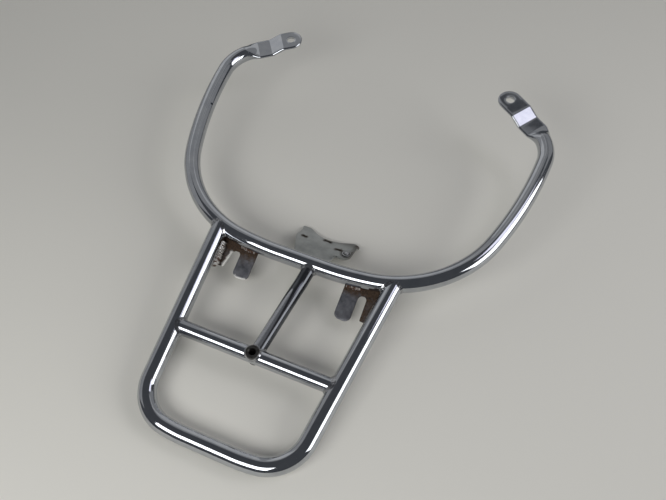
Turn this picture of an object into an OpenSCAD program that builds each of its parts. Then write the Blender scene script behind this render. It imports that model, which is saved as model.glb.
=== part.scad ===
// Motorcycle luggage rack: a bent tube grab rail with a small tubular carrier welded behind it.
// The origin is on the axis of the threaded bush in the crossbar, in the plane of the tube centres.
// +Y points forward, towards the two bolt tabs; +X is the rider's right; +Z is up.

/* [Tubes] */
// Outside diameter of the grab rail and of the carrier hoop
tube_d = 16; // [14:0.5:18]
// Wall of the grab rail and of the carrier hoop
tube_wall = 1.5; // [1:0.1:2.5]
// Outside diameter of the crossbar
crossbar_d = 14; // [11:0.5:15.5]
// Outside diameter of the centre strut
strut_d = 12.5; // [9:0.5:14]
// Wall of the crossbar and of the centre strut
light_wall = 1.2; // [0.8:0.1:2]

/* [Grab rail] */
// Straight run of the rail on each side of its middle
mid_run = 22; // [10:1:30]
// Radius of the gentle bend next to the middle run
ease_r = 286; // [240:2:320]
// Angle of the gentle bend
ease_a = 8.9; // [7:0.1:11]
// Radius of the large side bend
side_r = 114; // [108:1:122]
// Angle of the large side bend
side_a = 63.3; // [58:0.1:66]
// Radius of the slightly bowed arm
arm_r = 393; // [340:1:460]
// Angle that the arm turns through
arm_a = 15.5; // [12:0.1:18]
// Radius of the tight bend that leads to the tab
tip_r = 42; // [34:1:48]
// Angle of the tight bend
tip_a = 57.4; // [50:0.1:62]
// Bore of the small drain hole in the left arm
drain_d = 2.6; // [1.5:0.1:4]

/* [Bolt tabs] */
// Distance from the end of the tight bend to the bolt hole
hole_run = 41.6; // [40:0.2:48]
// Width of the flattened tube
tab_w = 24.5; // [22:0.5:25]
// Thickness of the flattened tube, both walls together
tab_t = 3.2; // [2.6:0.1:4]
// Diameter of the bolt hole
tab_hole_d = 8.5; // [6.5:0.1:10.5]
// Height of the step that is pressed into each tab
step_h = 5.5; // [3:0.1:7]
// Length over which the step rises
step_run = 12.5; // [9:0.5:13]
// Distance from the bolt hole to the step, left tab
step_back_left = 10; // [8.5:0.5:12]
// Distance from the bolt hole to the step, right tab
step_back_right = 18; // [12:0.5:19]
// Length over which the round tube turns flat, left tab
flatten_left = 12; // [8:0.5:14]
// Length over which the round tube turns flat, right tab
flatten_right = 6; // [4:0.5:7]

/* [Carrier] */
// Distance from the crossbar to the line through the two front joints of the carrier
front_run = 108.2; // [100:0.2:116]
// Length of the carrier from its front joints to its rear bar
hoop_len = 191.4; // [180:0.2:202]
// Half of the distance between the two front joints
hoop_half = 88; // [84:0.5:92]
// Angle by which each side rail leans in towards the rear
rail_taper = 5.34; // [3:0.02:7]
// Bend radius of the two rear corners
corner_r = 36; // [30:1:40]
// Bend radius of the slight crown at each end of the rear bar
crown_r = 150; // [120:5:180]
// Angle of that crown
crown_a = 8; // [5:0.5:10]
// Sideways place of the strut's rear end
strut_rear_x = 0.6; // [-1:0.2:2]
// Sideways place of the strut's front end
strut_front_x = 10.8; // [-4:0.2:14]

/* [Threaded bush] */
// Outside diameter of the bush
bush_d = 12; // [10:0.5:14]
// Height of the bush above the plane of the tube centres
bush_top = 9.5; // [8.5:0.5:12]
// Depth of the bush below the plane of the tube centres
bush_bottom = 8; // [7.5:0.5:10]
// Diameter of the threaded hole
bush_hole_d = 6; // [4:0.1:7]

/* [Slotted plates] */
// Thickness of the plates
plate_t = 3; // [2:0.1:4]
// Distance from the middle of the rack to the inner edge of each plate
plate_in = 44.5; // [40:0.5:50]
// Width of the inner finger
finger_w = 15.5; // [12:0.5:17]
// Width of the open slot
slot_w = 8; // [6.5:0.1:9]
// Distance from the front joints back to the closed end of the slot
slot_back = 17.5; // [16:0.5:20]
// Distance from the front joints back to the end of the inner finger
finger_back = 43.5; // [38:0.5:48]
// Distance from the front joints back to the end of the outer leg
leg_back = 39; // [34:0.5:43]
// Slope of the plate, down towards the rear
plate_slope = 15; // [10:0.5:18]
// Radius of the finger's corners
finger_r = 5.5; // [3:0.5:6]

/* [Centre bracket] */
// Sheet thickness of the bracket
bracket_t = 2; // [1.5:0.1:2.5]
// Sideways place of the bracket's middle
bracket_x = 5; // [0:0.5:8]
// Slope of the bracket, down towards the front
bracket_slope = 27.5; // [22:0.5:30]
// Width of the bracket under the grab rail
neck_w = 32; // [26:1:38]
// Width of the bracket across its two wing tips
wing_w = 63; // [56:1:70]
// Length of the bracket from the grab rail's middle to the wing tips
wing_run = 62; // [54:1:66]
// Radius of the hollow front edge
hollow_r = 52; // [44:1:70]
// Depth of the hollow front edge, from the wing tips back
hollow_depth = 9.5; // [6:0.5:12]
// Width of the slots stamped along the bracket's folds
stamp_w = 1.8; // [1:0.1:2.4]
// Height of the folded rim at the right wing
rim_h = 6; // [4:0.5:8]
// Diameter of the rivet's head
rivet_head_d = 9; // [7:0.5:11]
// Diameter of the rivet's shank
rivet_d = 5; // [3:0.5:6]

/* [Welds] */
// Leg of the fillet weld at each tube joint
weld_leg = 2.2; // [1:0.1:3]
// Radius of the heavy beads between the rails and the slotted plates
bead_r = 4.2; // [3:0.1:4.8]

/* [Hidden] */

// Number of sides used where a round shape is displayed
$fn = 32;
// Least number of steps in a full turn of a bend; wider bends take more
bend_fn = 90;
// Number of sides of the rings that a flattened end is blended between
blend_fn = 32;
// Thickness of the thin slices at the two ends of a blend
slice = 0.4;
// How far a cutting shape passes the surface that it cuts
over = 1;
// Bore left between the walls of the tube where the blend ends
slit = 0.6;
// Length and extra diameter of the sleeves that join two lengths of one tube
seam_len = 1;
seam_gain = 0.04;
// Lengths of one tube stop this far from their seam, inside the sleeve
seam_gap = 0.15;

tube_r = tube_d / 2;
tube_bore = tube_d - 2 * tube_wall;

// Headings of the rail's centre-line after each bend, counted from the middle outwards
head_ease = ease_a;
head_side = head_ease + side_a;
head_arm = head_side + arm_a;
head_tip = head_arm + tip_a;

// End point of a left-hand bend that starts at p with heading a
function bend_end(p, a, r, da) = p + r * [sin(a + da) - sin(a), cos(a) - cos(a + da)];

// The middle of the rail is placed so that the side bend passes through the front joint
side_cx = mid_run + (ease_r - side_r) * sin(ease_a);
side_cy = ease_r - (ease_r - side_r) * cos(ease_a);
mid_y = front_run - side_cy + sqrt(side_r * side_r - pow(hoop_half - side_cx, 2));

p_ease = [mid_run, mid_y];
p_side = bend_end(p_ease, 0, ease_r, ease_a);
p_arm = bend_end(p_side, head_ease, side_r, side_a);
p_tip = bend_end(p_arm, head_side, arm_r, arm_a);
p_tab = bend_end(p_tip, head_arm, tip_r, tip_a);

// Forward place of the grab rail's centre-line at a given sideways place, between the joints
function rail_y(x) = x < p_side.x
    ? mid_y + ease_r - sqrt(ease_r * ease_r - pow(x - mid_run, 2))
    : mid_y + side_cy - sqrt(side_r * side_r - pow(x - side_cx, 2));

// Headings and points of the carrier hoop, from the middle of the rear bar to the front joint
rail_head = 90 - rail_taper;
rear_y = front_run - hoop_len;
crown_rise = crown_r * (1 - cos(crown_a));
corner_rise = corner_r * (cos(crown_a) - cos(rail_head));
rail_len = (hoop_len - crown_rise - corner_rise) / sin(rail_head);
rear_half = hoop_half - rail_len * cos(rail_head) - crown_r * sin(crown_a)
    - corner_r * (sin(rail_head) - sin(crown_a));
q_crown = [rear_half, rear_y];
q_corner = bend_end(q_crown, 0, crown_r, crown_a);
q_rail = bend_end(q_corner, crown_a, corner_r, rail_head - crown_a);
joint = [hoop_half, front_run];
// The rails stop this far short of the grab rail's axis, where the two saddles close
cope_back = 1.5;
rail_end = joint - cope_back * [cos(rail_head), sin(rail_head)];

// Half of the distance between the rails where the crossbar meets them
crossbar_half = hoop_half - front_run * tan(rail_taper);

// A slotted plate touches the underside of the rail this far behind the front joints
plate_touch = 12;
plate_y = front_run - plate_touch;
// Distance from the front joints back to the plate's front edge
plate_front = 6;
// Half of the distance between the outer edges of the slotted plates
plate_out = hoop_half - 5;

// The bracket's neck starts this far behind the lowest line of the grab rail
neck_back = -tube_r / 8;
// Distance along the bracket at which its right wing and its left wing reach their full width
wing_back = wing_run * 0.42;
wing_back_left = wing_run * 0.66;
// Length over which the right wing's corner is cut, and how far the left wing leans in
wing_cut = 4;
wing_lean = 1;
// Sideways places of the two corners where the neck turns into the wings
neck_right = wing_w * 0.42;
neck_left = wing_w * 0.39;
// Stamped slots: place on the bracket, length between the end centres, and angle
stamp_left = [-22, wing_run * 0.68];
stamp_mid = [1, wing_run * 0.78];
stamp_right = [16, wing_run * 0.62];
stamp_len = [3.4, 5.6, 4];
stamp_a = [-8, -4, 4];

// Where the rivet goes through the bracket: sideways place and distance along the slope
rivet_x = 29.5;
rivet_run = 38;
// Heights of the rivet's flat head and of the low cone on it
head_h = 1.6;
cone_h = 0.9;

// Place of the drain hole along the arm, and how far it faces inward from straight up
drain_share = 0.72;
drain_face = 35;

// The weld between the grab rail and a plate's finger lies at this share of the tube's radius
// behind and below the rail's centre
finger_weld_back = tube_r * 0.58;
finger_weld_drop = tube_r * 0.88;
// Its bar is this thick, and runs from just inside the finger to just past it
finger_weld_d = 2.4 * weld_leg;
finger_weld_in = plate_in + 1;
finger_weld_out = plate_in + finger_w + 2;
// Number of lumps in the heavy bead between a rail and its plate
bead_count = 5;
// The bead lies at these shares of the tube's radius beside and below the rail's centre
bead_in = tube_r * 0.72;
bead_drop = tube_r * 0.62;
// Every second lump is this much larger
bead_swell = 0.35;

// One straight length of round bar from p to q, in the plane of the rack, left short by the given ends
module run(p, q, d, short_p = 0, short_q = 0) {
    translate([p.x, p.y, 0])
        rotate([0, 0, atan2(q.y - p.y, q.x - p.x)])
            translate([short_p, 0, 0])
                rotate([0, 90, 0])
                    rotate([0, 0, 180]) cylinder(h = norm(q - p) - short_p - short_q, d = d);
}

// One left-hand bend of round bar that starts at p with heading a, left short at both ends
module bend(p, a, r, da, d) {
    short_a = atan(seam_gap / r);
    translate([p.x, p.y, 0])
        rotate([0, 0, a])
            translate([0, r, 0])
                rotate([0, 0, short_a - 90])
                    rotate_extrude(angle = da - 2 * short_a, $fn = max(bend_fn, r))
                        translate([r, 0]) rotate(90) circle(d = d);
}

// A short sleeve over the seam at p between two lengths of bar, a hair larger than the bar
module seam(p, a, d) {
    translate([p.x, p.y, 0])
        rotate([0, 0, a])
            rotate([0, 90, 0]) rotate([0, 0, 180]) cylinder(h = seam_len, d = d + seam_gain, center = true);
}

// Both sides of something drawn for the right side
module both_sides() {
    children();
    mirror([1, 0, 0]) children();
}

// The part of the grab rail that the carrier and the plates meet, as solid bar
module rail_front(d) {
    run([-mid_run, mid_y], p_ease, d, seam_gap, seam_gap);
    both_sides() {
        seam(p_ease, 0, d);
        bend(p_ease, 0, ease_r, ease_a, d);
        seam(p_side, head_ease, d);
        bend(p_side, head_ease, side_r, side_a, d);
    }
}

// Solid round bar along the whole grab rail, up to the ends of the tight bends
module rail_bar(d) {
    rail_front(d);
    both_sides() {
        seam(p_arm, head_side, d);
        bend(p_arm, head_side, arm_r, arm_a, d);
        seam(p_tip, head_arm, d);
        bend(p_tip, head_arm, tip_r, tip_a, d);
        seam(p_tab, head_tip, d);
    }
}

// Solid round bar along the carrier hoop
module hoop_bar(d) {
    run([-rear_half, rear_y], q_crown, d, seam_gap, seam_gap);
    both_sides() {
        seam(q_crown, 0, d);
        bend(q_crown, 0, crown_r, crown_a, d);
        seam(q_corner, crown_a, d);
        bend(q_corner, crown_a, corner_r, rail_head - crown_a, d);
        seam(q_rail, rail_head, d);
        run(q_rail, rail_end, d, seam_gap);
    }
}

// Frame of a tab: X along the tab from the end of the tight bend, Y across it, Z up
module at_tab() {
    translate([p_tab.x, p_tab.y, 0]) rotate([0, 0, head_tip]) children();
}

// Side view of a tab: flat, a step up, and flat again to the tip
module tab_profile(flatten, step_back) {
    step_end = hole_run - step_back;
    step_start = step_end - step_run;
    tip = hole_run + tab_w / 2;
    polygon([
        [flatten, -tab_t / 2], [step_start, -tab_t / 2], [step_end, step_h - tab_t / 2],
        [tip, step_h - tab_t / 2], [tip, step_h + tab_t / 2], [step_end - slice, step_h + tab_t / 2],
        [step_start - slice, tab_t / 2], [flatten, tab_t / 2]
    ]);
}

// Plan view of a tab, with its round tip
module tab_plan() {
    translate([0, -tab_w / 2]) square([hole_run, tab_w]);
    translate([hole_run, 0]) circle(d = tab_w);
}

// A thin flat slice with round edges, as wide and as thick as given
module flat_slice(w, t) {
    rotate([90, 0, 90])
        linear_extrude(slice)
            union() {
                square([w - t, t], center = true);
                translate([(w - t) / 2, 0]) circle(d = t, $fn = blend_fn);
                translate([(t - w) / 2, 0]) circle(d = t, $fn = blend_fn);
            }
}

// Blend from the round tube to the flattened one
module flatten_blend(d, w, t, length) {
    hull() {
        rotate([0, 90, 0]) cylinder(h = slice, d = d, $fn = blend_fn);
        translate([length - slice, 0, 0]) flat_slice(w, t);
    }
}

// One complete flattened and stepped tab
module tab_end(flatten, step_back) {
    at_tab() {
        difference() {
            union() {
                flatten_blend(tube_d, tab_w, tab_t, flatten + slice);
                intersection() {
                    rotate([90, 0, 0])
                        translate([0, 0, -tab_w / 2])
                            linear_extrude(tab_w) tab_profile(flatten, step_back);
                    translate([0, 0, -tube_d]) linear_extrude(2 * tube_d) tab_plan();
                }
            }
            flatten_blend(tube_bore, tab_w - 2 * tube_wall, slit, flatten);
            translate([hole_run, 0, step_h - tab_t]) cylinder(h = 2 * tab_t, d = tab_hole_d);
        }
    }
}

// Small hole on the inner upper side of the left arm, through which the tube drained when plated
module drain_hole() {
    drain_at = bend_end(p_arm, head_side, arm_r, arm_a * drain_share);
    translate([-drain_at.x, drain_at.y, 0])
        rotate([0, drain_face, 0]) translate([0, 0, tube_bore / 2 - over]) cylinder(h = tube_r, d = drain_d);
}

module grab_rail() {
    color([0.78, 0.79, 0.81])
        union() {
            difference() {
                rail_bar(tube_d);
                rail_bar(tube_bore);
                drain_hole();
            }
            tab_end(flatten_right, step_back_right);
            mirror([1, 0, 0]) tab_end(flatten_left, step_back_left);
        }
}

module carrier_hoop() {
    color([0.78, 0.79, 0.81])
        difference() {
            hoop_bar(tube_d);
            hoop_bar(tube_bore);
            rail_front(tube_d);
        }
}

module crossbar() {
    color([0.76, 0.77, 0.79])
        difference() {
            run([-crossbar_half, 0], [crossbar_half, 0], crossbar_d);
            run([-crossbar_half - over, 0], [crossbar_half + over, 0], crossbar_d - 2 * light_wall);
            hoop_rails(tube_d);
            bush_body(bush_d);
        }
}

// The two straight rails of the hoop, as solid bar
module hoop_rails(d) {
    both_sides() run(q_rail, rail_end, d);
}

// Round body of the bush
module bush_body(d) {
    translate([0, 0, -bush_bottom]) cylinder(h = bush_bottom + bush_top, d = d);
}

// Solid bar along the strut
module strut_bar(d) {
    run([strut_rear_x, 0], [strut_front_x, mid_y], d);
}

module centre_strut() {
    color([0.74, 0.75, 0.77])
        difference() {
            strut_bar(strut_d);
            strut_bar(strut_d - 2 * light_wall);
            run([-crossbar_half, 0], [crossbar_half, 0], crossbar_d);
            bush_body(bush_d);
            rail_front(tube_d);
        }
}

module threaded_bush() {
    color([0.42, 0.40, 0.38])
        difference() {
            bush_body(bush_d);
            translate([0, 0, -bush_bottom - over])
                cylinder(h = bush_bottom + bush_top + 2 * over, d = bush_hole_d);
        }
}

// Frame of a slotted plate: X to the right, Y forward along the slope, Z out of its upper face
module at_plate() {
    translate([0, plate_y, -tube_r]) rotate([plate_slope, 0, 0]) children();
}

// Place along the sloping plate of a point that lies back from the front joints
function plate_v(back) = (front_run - back - plate_y) / cos(plate_slope);

// Outline of a plate as cut from sheet: a finger, an open slot, and a leg along the rail
module plate_outline() {
    slot_in = plate_in + finger_w;
    slot_out = slot_in + slot_w;
    front_v = plate_v(plate_front);
    difference() {
        union() {
            translate([plate_in, plate_v(finger_back) + finger_r])
                square([finger_w, front_v - plate_v(finger_back) - finger_r]);
            translate([plate_in + finger_r, plate_v(finger_back)])
                square([finger_w - 2 * finger_r, 2 * finger_r]);
            translate([plate_in + finger_r, plate_v(finger_back) + finger_r]) circle(r = finger_r);
            translate([slot_in - finger_r, plate_v(finger_back) + finger_r]) circle(r = finger_r);
            translate([plate_in, plate_v(slot_back)])
                square([plate_out - plate_in, front_v - plate_v(slot_back)]);
            translate([slot_out, plate_v(leg_back)])
                square([plate_out - slot_out, front_v - plate_v(leg_back)]);
        }
        translate([slot_in + slot_w / 2, plate_v(slot_back) - slot_w / 2]) circle(d = slot_w);
        translate([slot_in, plate_v(finger_back) - over])
            square([slot_w, plate_v(slot_back) - slot_w / 2 - plate_v(finger_back) + over]);
    }
}

// A slotted plate on the right side, fitted against the underside of both tubes
module slot_plate() {
    difference() {
        at_plate() translate([0, 0, -plate_t]) linear_extrude(plate_t) plate_outline();
        rail_front(tube_d);
        hoop_rails(tube_d);
    }
}

module slot_plate_right() {
    color([0.33, 0.27, 0.22]) slot_plate();
}

module slot_plate_left() {
    color([0.33, 0.27, 0.22]) mirror([1, 0, 0]) slot_plate();
}

// Frame of the bracket: X to the right, Y forward down the slope, Z out of its upper face
module at_bracket() {
    translate([bracket_x, mid_y, -tube_r]) rotate([-bracket_slope, 0, 0]) children();
}

// Outline of the bracket: a neck under the rail that widens to two wings with a hollow between
module bracket_outline() {
    difference() {
        polygon([
            [-neck_w / 2, neck_back], [neck_w / 2, neck_back], [neck_right, wing_back],
            [wing_w / 2, wing_back + wing_cut], [wing_w / 2, wing_run], [-wing_w / 2, wing_run],
            [-wing_w / 2 + wing_lean, wing_back_left], [-neck_left, wing_back]
        ]);
        translate([0, wing_run - hollow_depth + hollow_r]) circle(r = hollow_r, $fn = 180);
    }
}

// A short round-ended slot stamped through the bracket
module stamp(p, length, a) {
    translate([p.x, p.y, -bracket_t - over])
        rotate([0, 0, a])
            linear_extrude(bracket_t + 2 * over)
                union() {
                    square([length, stamp_w], center = true);
                    translate([length / 2, 0]) circle(d = stamp_w);
                    translate([-length / 2, 0]) circle(d = stamp_w);
                }
}

module centre_bracket() {
    color([0.47, 0.47, 0.45])
        difference() {
            at_bracket() {
                difference() {
                    union() {
                        translate([0, 0, -bracket_t]) linear_extrude(bracket_t) bracket_outline();
                        translate([wing_w / 2 - bracket_t, wing_back + wing_cut, 0])
                            cube([bracket_t, wing_run - wing_back - wing_cut, rim_h]);
                    }
                    stamp(stamp_left, stamp_len[0], stamp_a[0]);
                    stamp(stamp_mid, stamp_len[1], stamp_a[1]);
                    stamp(stamp_right, stamp_len[2], stamp_a[2]);
                    translate([rivet_x - bracket_x, rivet_run, -bracket_t - over])
                        cylinder(h = bracket_t + 2 * over, d = rivet_d);
                }
            }
            rail_front(tube_d);
        }
}

module bracket_rivet() {
    color([0.55, 0.55, 0.54])
        at_bracket() translate([rivet_x - bracket_x, rivet_run, 0]) {
            cylinder(h = head_h, d = rivet_head_d);
            translate([0, 0, head_h]) cylinder(h = cone_h, d1 = rivet_head_d * 0.7, d2 = rivet_head_d * 0.5);
            translate([0, 0, -bracket_t]) cylinder(h = bracket_t, d = rivet_d);
        }
}

// Fillet weld where the right rail of the hoop meets the grab rail
module weld_hoop() {
    color([0.62, 0.62, 0.62])
        difference() {
            intersection() {
                run(q_rail, rail_end, tube_d + 2 * weld_leg);
                bend(p_side, head_ease, side_r, side_a, tube_d + 1.8 * weld_leg);
            }
            bend(p_side, head_ease, side_r, side_a, tube_d);
            run(q_rail, rail_end, tube_d);
            at_plate() translate([0, -tube_d, -2 * plate_t]) cube([2 * hoop_half, 2 * tube_d, 2 * plate_t]);
        }
}

module weld_hoop_right() {
    weld_hoop();
}

module weld_hoop_left() {
    mirror([1, 0, 0]) weld_hoop();
}

// Fillet weld where the right end of the crossbar meets its rail
module weld_crossbar() {
    color([0.62, 0.62, 0.62])
        difference() {
            intersection() {
                run([0, 0], [crossbar_half, 0], crossbar_d + 2 * weld_leg);
                hoop_rails(tube_d + 2 * weld_leg);
            }
            hoop_rails(tube_d);
            run([0, 0], [crossbar_half, 0], crossbar_d);
        }
}

module weld_crossbar_right() {
    weld_crossbar();
}

module weld_crossbar_left() {
    mirror([1, 0, 0]) weld_crossbar();
}

// Weld around the bush where it stands in the crossbar, with the strut's rear end
module weld_bush() {
    color([0.55, 0.54, 0.53])
        difference() {
            intersection() {
                bush_body(bush_d + 2 * weld_leg);
                union() {
                    run([-bush_d, 0], [bush_d, 0], crossbar_d + weld_leg);
                    run([strut_rear_x, 0], [strut_rear_x, bush_d], strut_d + weld_leg);
                }
            }
            bush_body(bush_d);
            run([-crossbar_half, 0], [crossbar_half, 0], crossbar_d);
            strut_bar(strut_d);
        }
}

// Fillet weld where the strut meets the grab rail
module weld_strut_front() {
    color([0.62, 0.62, 0.62])
        difference() {
            intersection() {
                strut_bar(strut_d + 2 * weld_leg);
                rail_front(tube_d + 2 * weld_leg);
            }
            strut_bar(strut_d);
            rail_front(tube_d);
        }
}

// Weld along the rear of the grab rail, on top of a slotted plate's finger
module weld_plate() {
    weld_from = [finger_weld_in, rail_y(finger_weld_in) - finger_weld_back];
    weld_to = [finger_weld_out, rail_y(finger_weld_out) - finger_weld_back];
    color([0.40, 0.36, 0.32])
        difference() {
            intersection() {
                translate([0, 0, -finger_weld_drop]) run(weld_from, weld_to, finger_weld_d);
                at_plate() translate([0, -tube_d, 0]) cube([hoop_half, 2 * tube_d, tube_d]);
            }
            bend(p_ease, 0, ease_r, ease_a, tube_d);
            bend(p_side, head_ease, side_r, side_a, tube_d);
        }
}

module weld_plate_right() {
    weld_plate();
}

module weld_plate_left() {
    mirror([1, 0, 0]) weld_plate();
}

// Heavy bead between the right rail and its plate: a row of lumps from front to rear
module weld_bead() {
    color([0.55, 0.52, 0.48])
        difference() {
            intersection() {
                for (i = [0:bead_count - 1]) {
                    back = slot_back + (leg_back - slot_back) * i / (bead_count - 1);
                    y = front_run - back;
                    x = hoop_half - back * tan(rail_taper) - bead_in;
                    z = -bead_drop + plate_v(back) * sin(plate_slope) / 2;
                    translate([x, y, z]) sphere(r = bead_r + bead_swell * (i % 2));
                }
                at_plate()
                    translate([plate_in, -2 * finger_back, 0])
                        cube([hoop_half, 3 * finger_back, 3 * tube_d]);
            }
            rail_front(tube_d + 2 * weld_leg);
            hoop_rails(tube_d);
        }
}

module weld_bead_right() {
    weld_bead();
}

module weld_bead_left() {
    mirror([1, 0, 0]) weld_bead();
}

// Weld along the front of the grab rail, on top of the bracket's neck
module weld_bracket() {
    color([0.50, 0.49, 0.47])
        difference() {
            intersection() {
                rail_front(tube_d + 2 * weld_leg);
                at_bracket() translate([-neck_w / 2, 0, 0]) cube([neck_w, tube_d, 2 * weld_leg]);
            }
            rail_front(tube_d);
        }
}

grab_rail();
carrier_hoop();
crossbar();
centre_strut();
threaded_bush();
slot_plate_left();
slot_plate_right();
centre_bracket();
bracket_rivet();
weld_hoop_left();
weld_hoop_right();
weld_crossbar_left();
weld_crossbar_right();
weld_bush();
weld_strut_front();
weld_plate_left();
weld_plate_right();
weld_bead_left();
weld_bead_right();
weld_bracket();
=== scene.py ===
import math

import bmesh
import bpy
import numpy as np
from mathutils import Matrix, Vector
from mathutils.geometry import delaunay_2d_cdt


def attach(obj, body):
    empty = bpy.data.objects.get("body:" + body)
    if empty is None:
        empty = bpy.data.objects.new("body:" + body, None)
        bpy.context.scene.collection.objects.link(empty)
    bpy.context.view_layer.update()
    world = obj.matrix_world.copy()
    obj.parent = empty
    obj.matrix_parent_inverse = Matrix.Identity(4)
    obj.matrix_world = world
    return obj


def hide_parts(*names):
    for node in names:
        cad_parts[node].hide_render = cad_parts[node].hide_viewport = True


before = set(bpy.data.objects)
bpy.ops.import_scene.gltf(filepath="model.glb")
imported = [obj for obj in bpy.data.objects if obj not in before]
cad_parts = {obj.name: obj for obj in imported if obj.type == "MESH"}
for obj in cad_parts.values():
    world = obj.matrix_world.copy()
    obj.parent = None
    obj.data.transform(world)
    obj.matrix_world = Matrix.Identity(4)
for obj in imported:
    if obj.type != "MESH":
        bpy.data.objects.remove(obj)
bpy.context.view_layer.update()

# Grab rail
# One 16 mm steel tube, bent cold round a former, its two ends pressed flat, stepped and drilled
# for the seat bolts, then polished and chromed.

# Lengths are in millimetres and angles in degrees. At the end of a name, R is a radius, A the angle of
# a bend, W a width, T a thickness and H a height.
MM = 0.001
TUBE_R = 8.0
LOOP = 64
LINE_STEP = 1.5

# The carrier's rails meet the grab rail FRONT_RUN ahead of the bush and HOOP_HALF to each side of it
FRONT_RUN = 108.2
HOOP_HALF = 88.0
MID_RUN = 22.0
EASE_R = 286.0
EASE_A = 8.9
SIDE_R = 114.0
SIDE_A = 63.3
ARM_R = 393.0
ARM_A = 15.5
TIP_R = 42.0
TIP_A = 57.4
HOLE_RUN = 41.6
TAB_W = 24.5
TAB_T = 3.2
TAB_HOLE_R = 4.25
STEP_H = 5.5
STEP_RUN = 12.5
STEP_FOLD = 0.5
FOLD_HALF = 0.6
TAB_STEP = 0.5
TIP_RUN = 7.0
HOLE_WORN = 0.45
HOLE_LIP = 0.12
TIP_START = HOLE_RUN - TIP_RUN

# The side bend's centre, and the middle's place, that make the rail pass through the front joints
SIDE_CX = MID_RUN + (EASE_R - SIDE_R) * math.sin(math.radians(EASE_A))
SIDE_RISE = EASE_R - (EASE_R - SIDE_R) * math.cos(math.radians(EASE_A))
MID_Y = FRONT_RUN - SIDE_RISE + math.sqrt(SIDE_R ** 2 - (HOOP_HALF - SIDE_CX) ** 2)
SIDE_CY = MID_Y + SIDE_RISE


def linear(code):
    """Linear colour of an sRGB hex code."""
    parts = [int(code[i:i + 2], 16) / 255 for i in (1, 3, 5)]
    return [c / 12.92 if c <= 0.04045 else ((c + 0.055) / 1.055) ** 2.4 for c in parts] + [1.0]


def add(material, kind, **settings):
    """Adds a shader node; a keyword sets a property, or an input where the node has one of that name."""
    made = material.node_tree.nodes.new("ShaderNode" + kind)
    for name, value in settings.items():
        label = name.replace("_", " ")
        if label in made.inputs:
            made.inputs[label].default_value = value
        else:
            setattr(made, name, value)
    return made


def link(material, source, target):
    material.node_tree.links.new(source, target)


def new_material(name, **settings):
    """A material with inputs of its Principled shader set."""
    material = bpy.data.materials.new(name)
    material.use_nodes = True
    shader = material.node_tree.nodes["Principled BSDF"]
    for label, value in settings.items():
        shader.inputs[label.replace("_", " ")].default_value = value
    return material


def feed(material, label, source):
    """Connects a node's output to an input of the material's Principled shader."""
    link(material, source, material.node_tree.nodes["Principled BSDF"].inputs[label])


def noise_field(material, scale, detail=4.0, roughness=0.55):
    """Noise over the object's own coordinates in metres, so scale is in cells per metre."""
    noise = add(material, "TexNoise", Scale=scale, Detail=detail, Roughness=roughness)
    link(material, add(material, "TexCoord").outputs["Object"], noise.inputs["Vector"])
    return noise.outputs["Fac"]


def stored_field(material, name):
    """The number that set_field stored at each vertex under a name."""
    return add(material, "Attribute", attribute_name=name).outputs["Fac"]


def ramp(material, value, low, high, from_color, to_color):
    """Maps a value between low and high onto two colours, given as hex codes."""
    made = add(material, "ValToRGB")
    made.color_ramp.elements[0].position = low
    made.color_ramp.elements[0].color = linear(from_color)
    made.color_ramp.elements[1].position = high
    made.color_ramp.elements[1].color = linear(to_color)
    link(material, value, made.inputs["Fac"])
    return made.outputs["Color"]


def mix(material, share, under, over):
    """Blends one colour over another by a share from 0 to 1. The one over it may be a hex code."""
    made = add(material, "Mix", data_type="RGBA")
    link(material, share, made.inputs[0])
    link(material, under, made.inputs[6])
    if isinstance(over, str):
        made.inputs[7].default_value = linear(over)
    else:
        link(material, over, made.inputs[7])
    return made.outputs[2]


def bump(material, height, distance):
    """Feeds a height to the shader's normal, with the distance in metres."""
    made = add(material, "Bump", Strength=1.0, Distance=distance)
    link(material, height, made.inputs["Height"])
    feed(material, "Normal", made.outputs["Normal"])


def solid(name, verts, faces):
    """A closed mesh object from points in millimetres, with its faces turned outward."""
    mesh = bpy.data.meshes.new(name)
    mesh.from_pydata((np.asarray(verts) * MM).tolist(), [], [list(map(int, f)) for f in faces])
    work = bmesh.new()
    work.from_mesh(mesh)
    bmesh.ops.recalc_face_normals(work, faces=work.faces)
    if work.calc_volume(signed=True) < 0:
        bmesh.ops.reverse_faces(work, faces=work.faces)
    work.to_mesh(mesh)
    work.free()
    made = bpy.data.objects.new(name, mesh)
    bpy.context.collection.objects.link(made)
    return made


def piece(name, verts, faces, slot, material, replaces, sharp=40.0):
    """A piece of the rack that stands in for the node that replaces names.
    Its edges of more than sharp degrees stay crisp."""
    made = solid(name, verts, faces)
    made.data.polygons.foreach_set("use_smooth", [True] * len(made.data.polygons))
    made.data.set_sharp_from_angle(angle=math.radians(sharp))
    made.data.materials.append(material)
    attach(made, "root")
    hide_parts(replaces)
    return made


def set_field(made, name, values):
    """Stores one number from 0 to 1 per vertex for the material to read."""
    field = made.data.attributes.new(name, "FLOAT", "POINT")
    field.data.foreach_set("value", np.clip(values, 0, 1).astype(float))


def plan_path(start, legs):
    """Points along legs of (length, turn), each a straight line or an arc, that set out towards +X."""
    points = [np.array([start])]
    heading = 0.0
    for length, turn in legs:
        at = points[-1][-1]
        s = np.linspace(0, length, max(2, math.ceil(length / LINE_STEP) + 1))[1:]
        h = heading + math.radians(turn) * s / length
        if turn:
            r = length / math.radians(turn)
            leg = at + r * np.stack([np.sin(h) - math.sin(heading), math.cos(heading) - np.cos(h)], 1)
        else:
            leg = at + s[:, None] * [math.cos(heading), math.sin(heading)]
        points.append(leg)
        heading = h[-1]
    return np.concatenate(points)


def arc(radius, angle):
    """Length and turn of a bend."""
    return radius * math.radians(angle), angle


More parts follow.
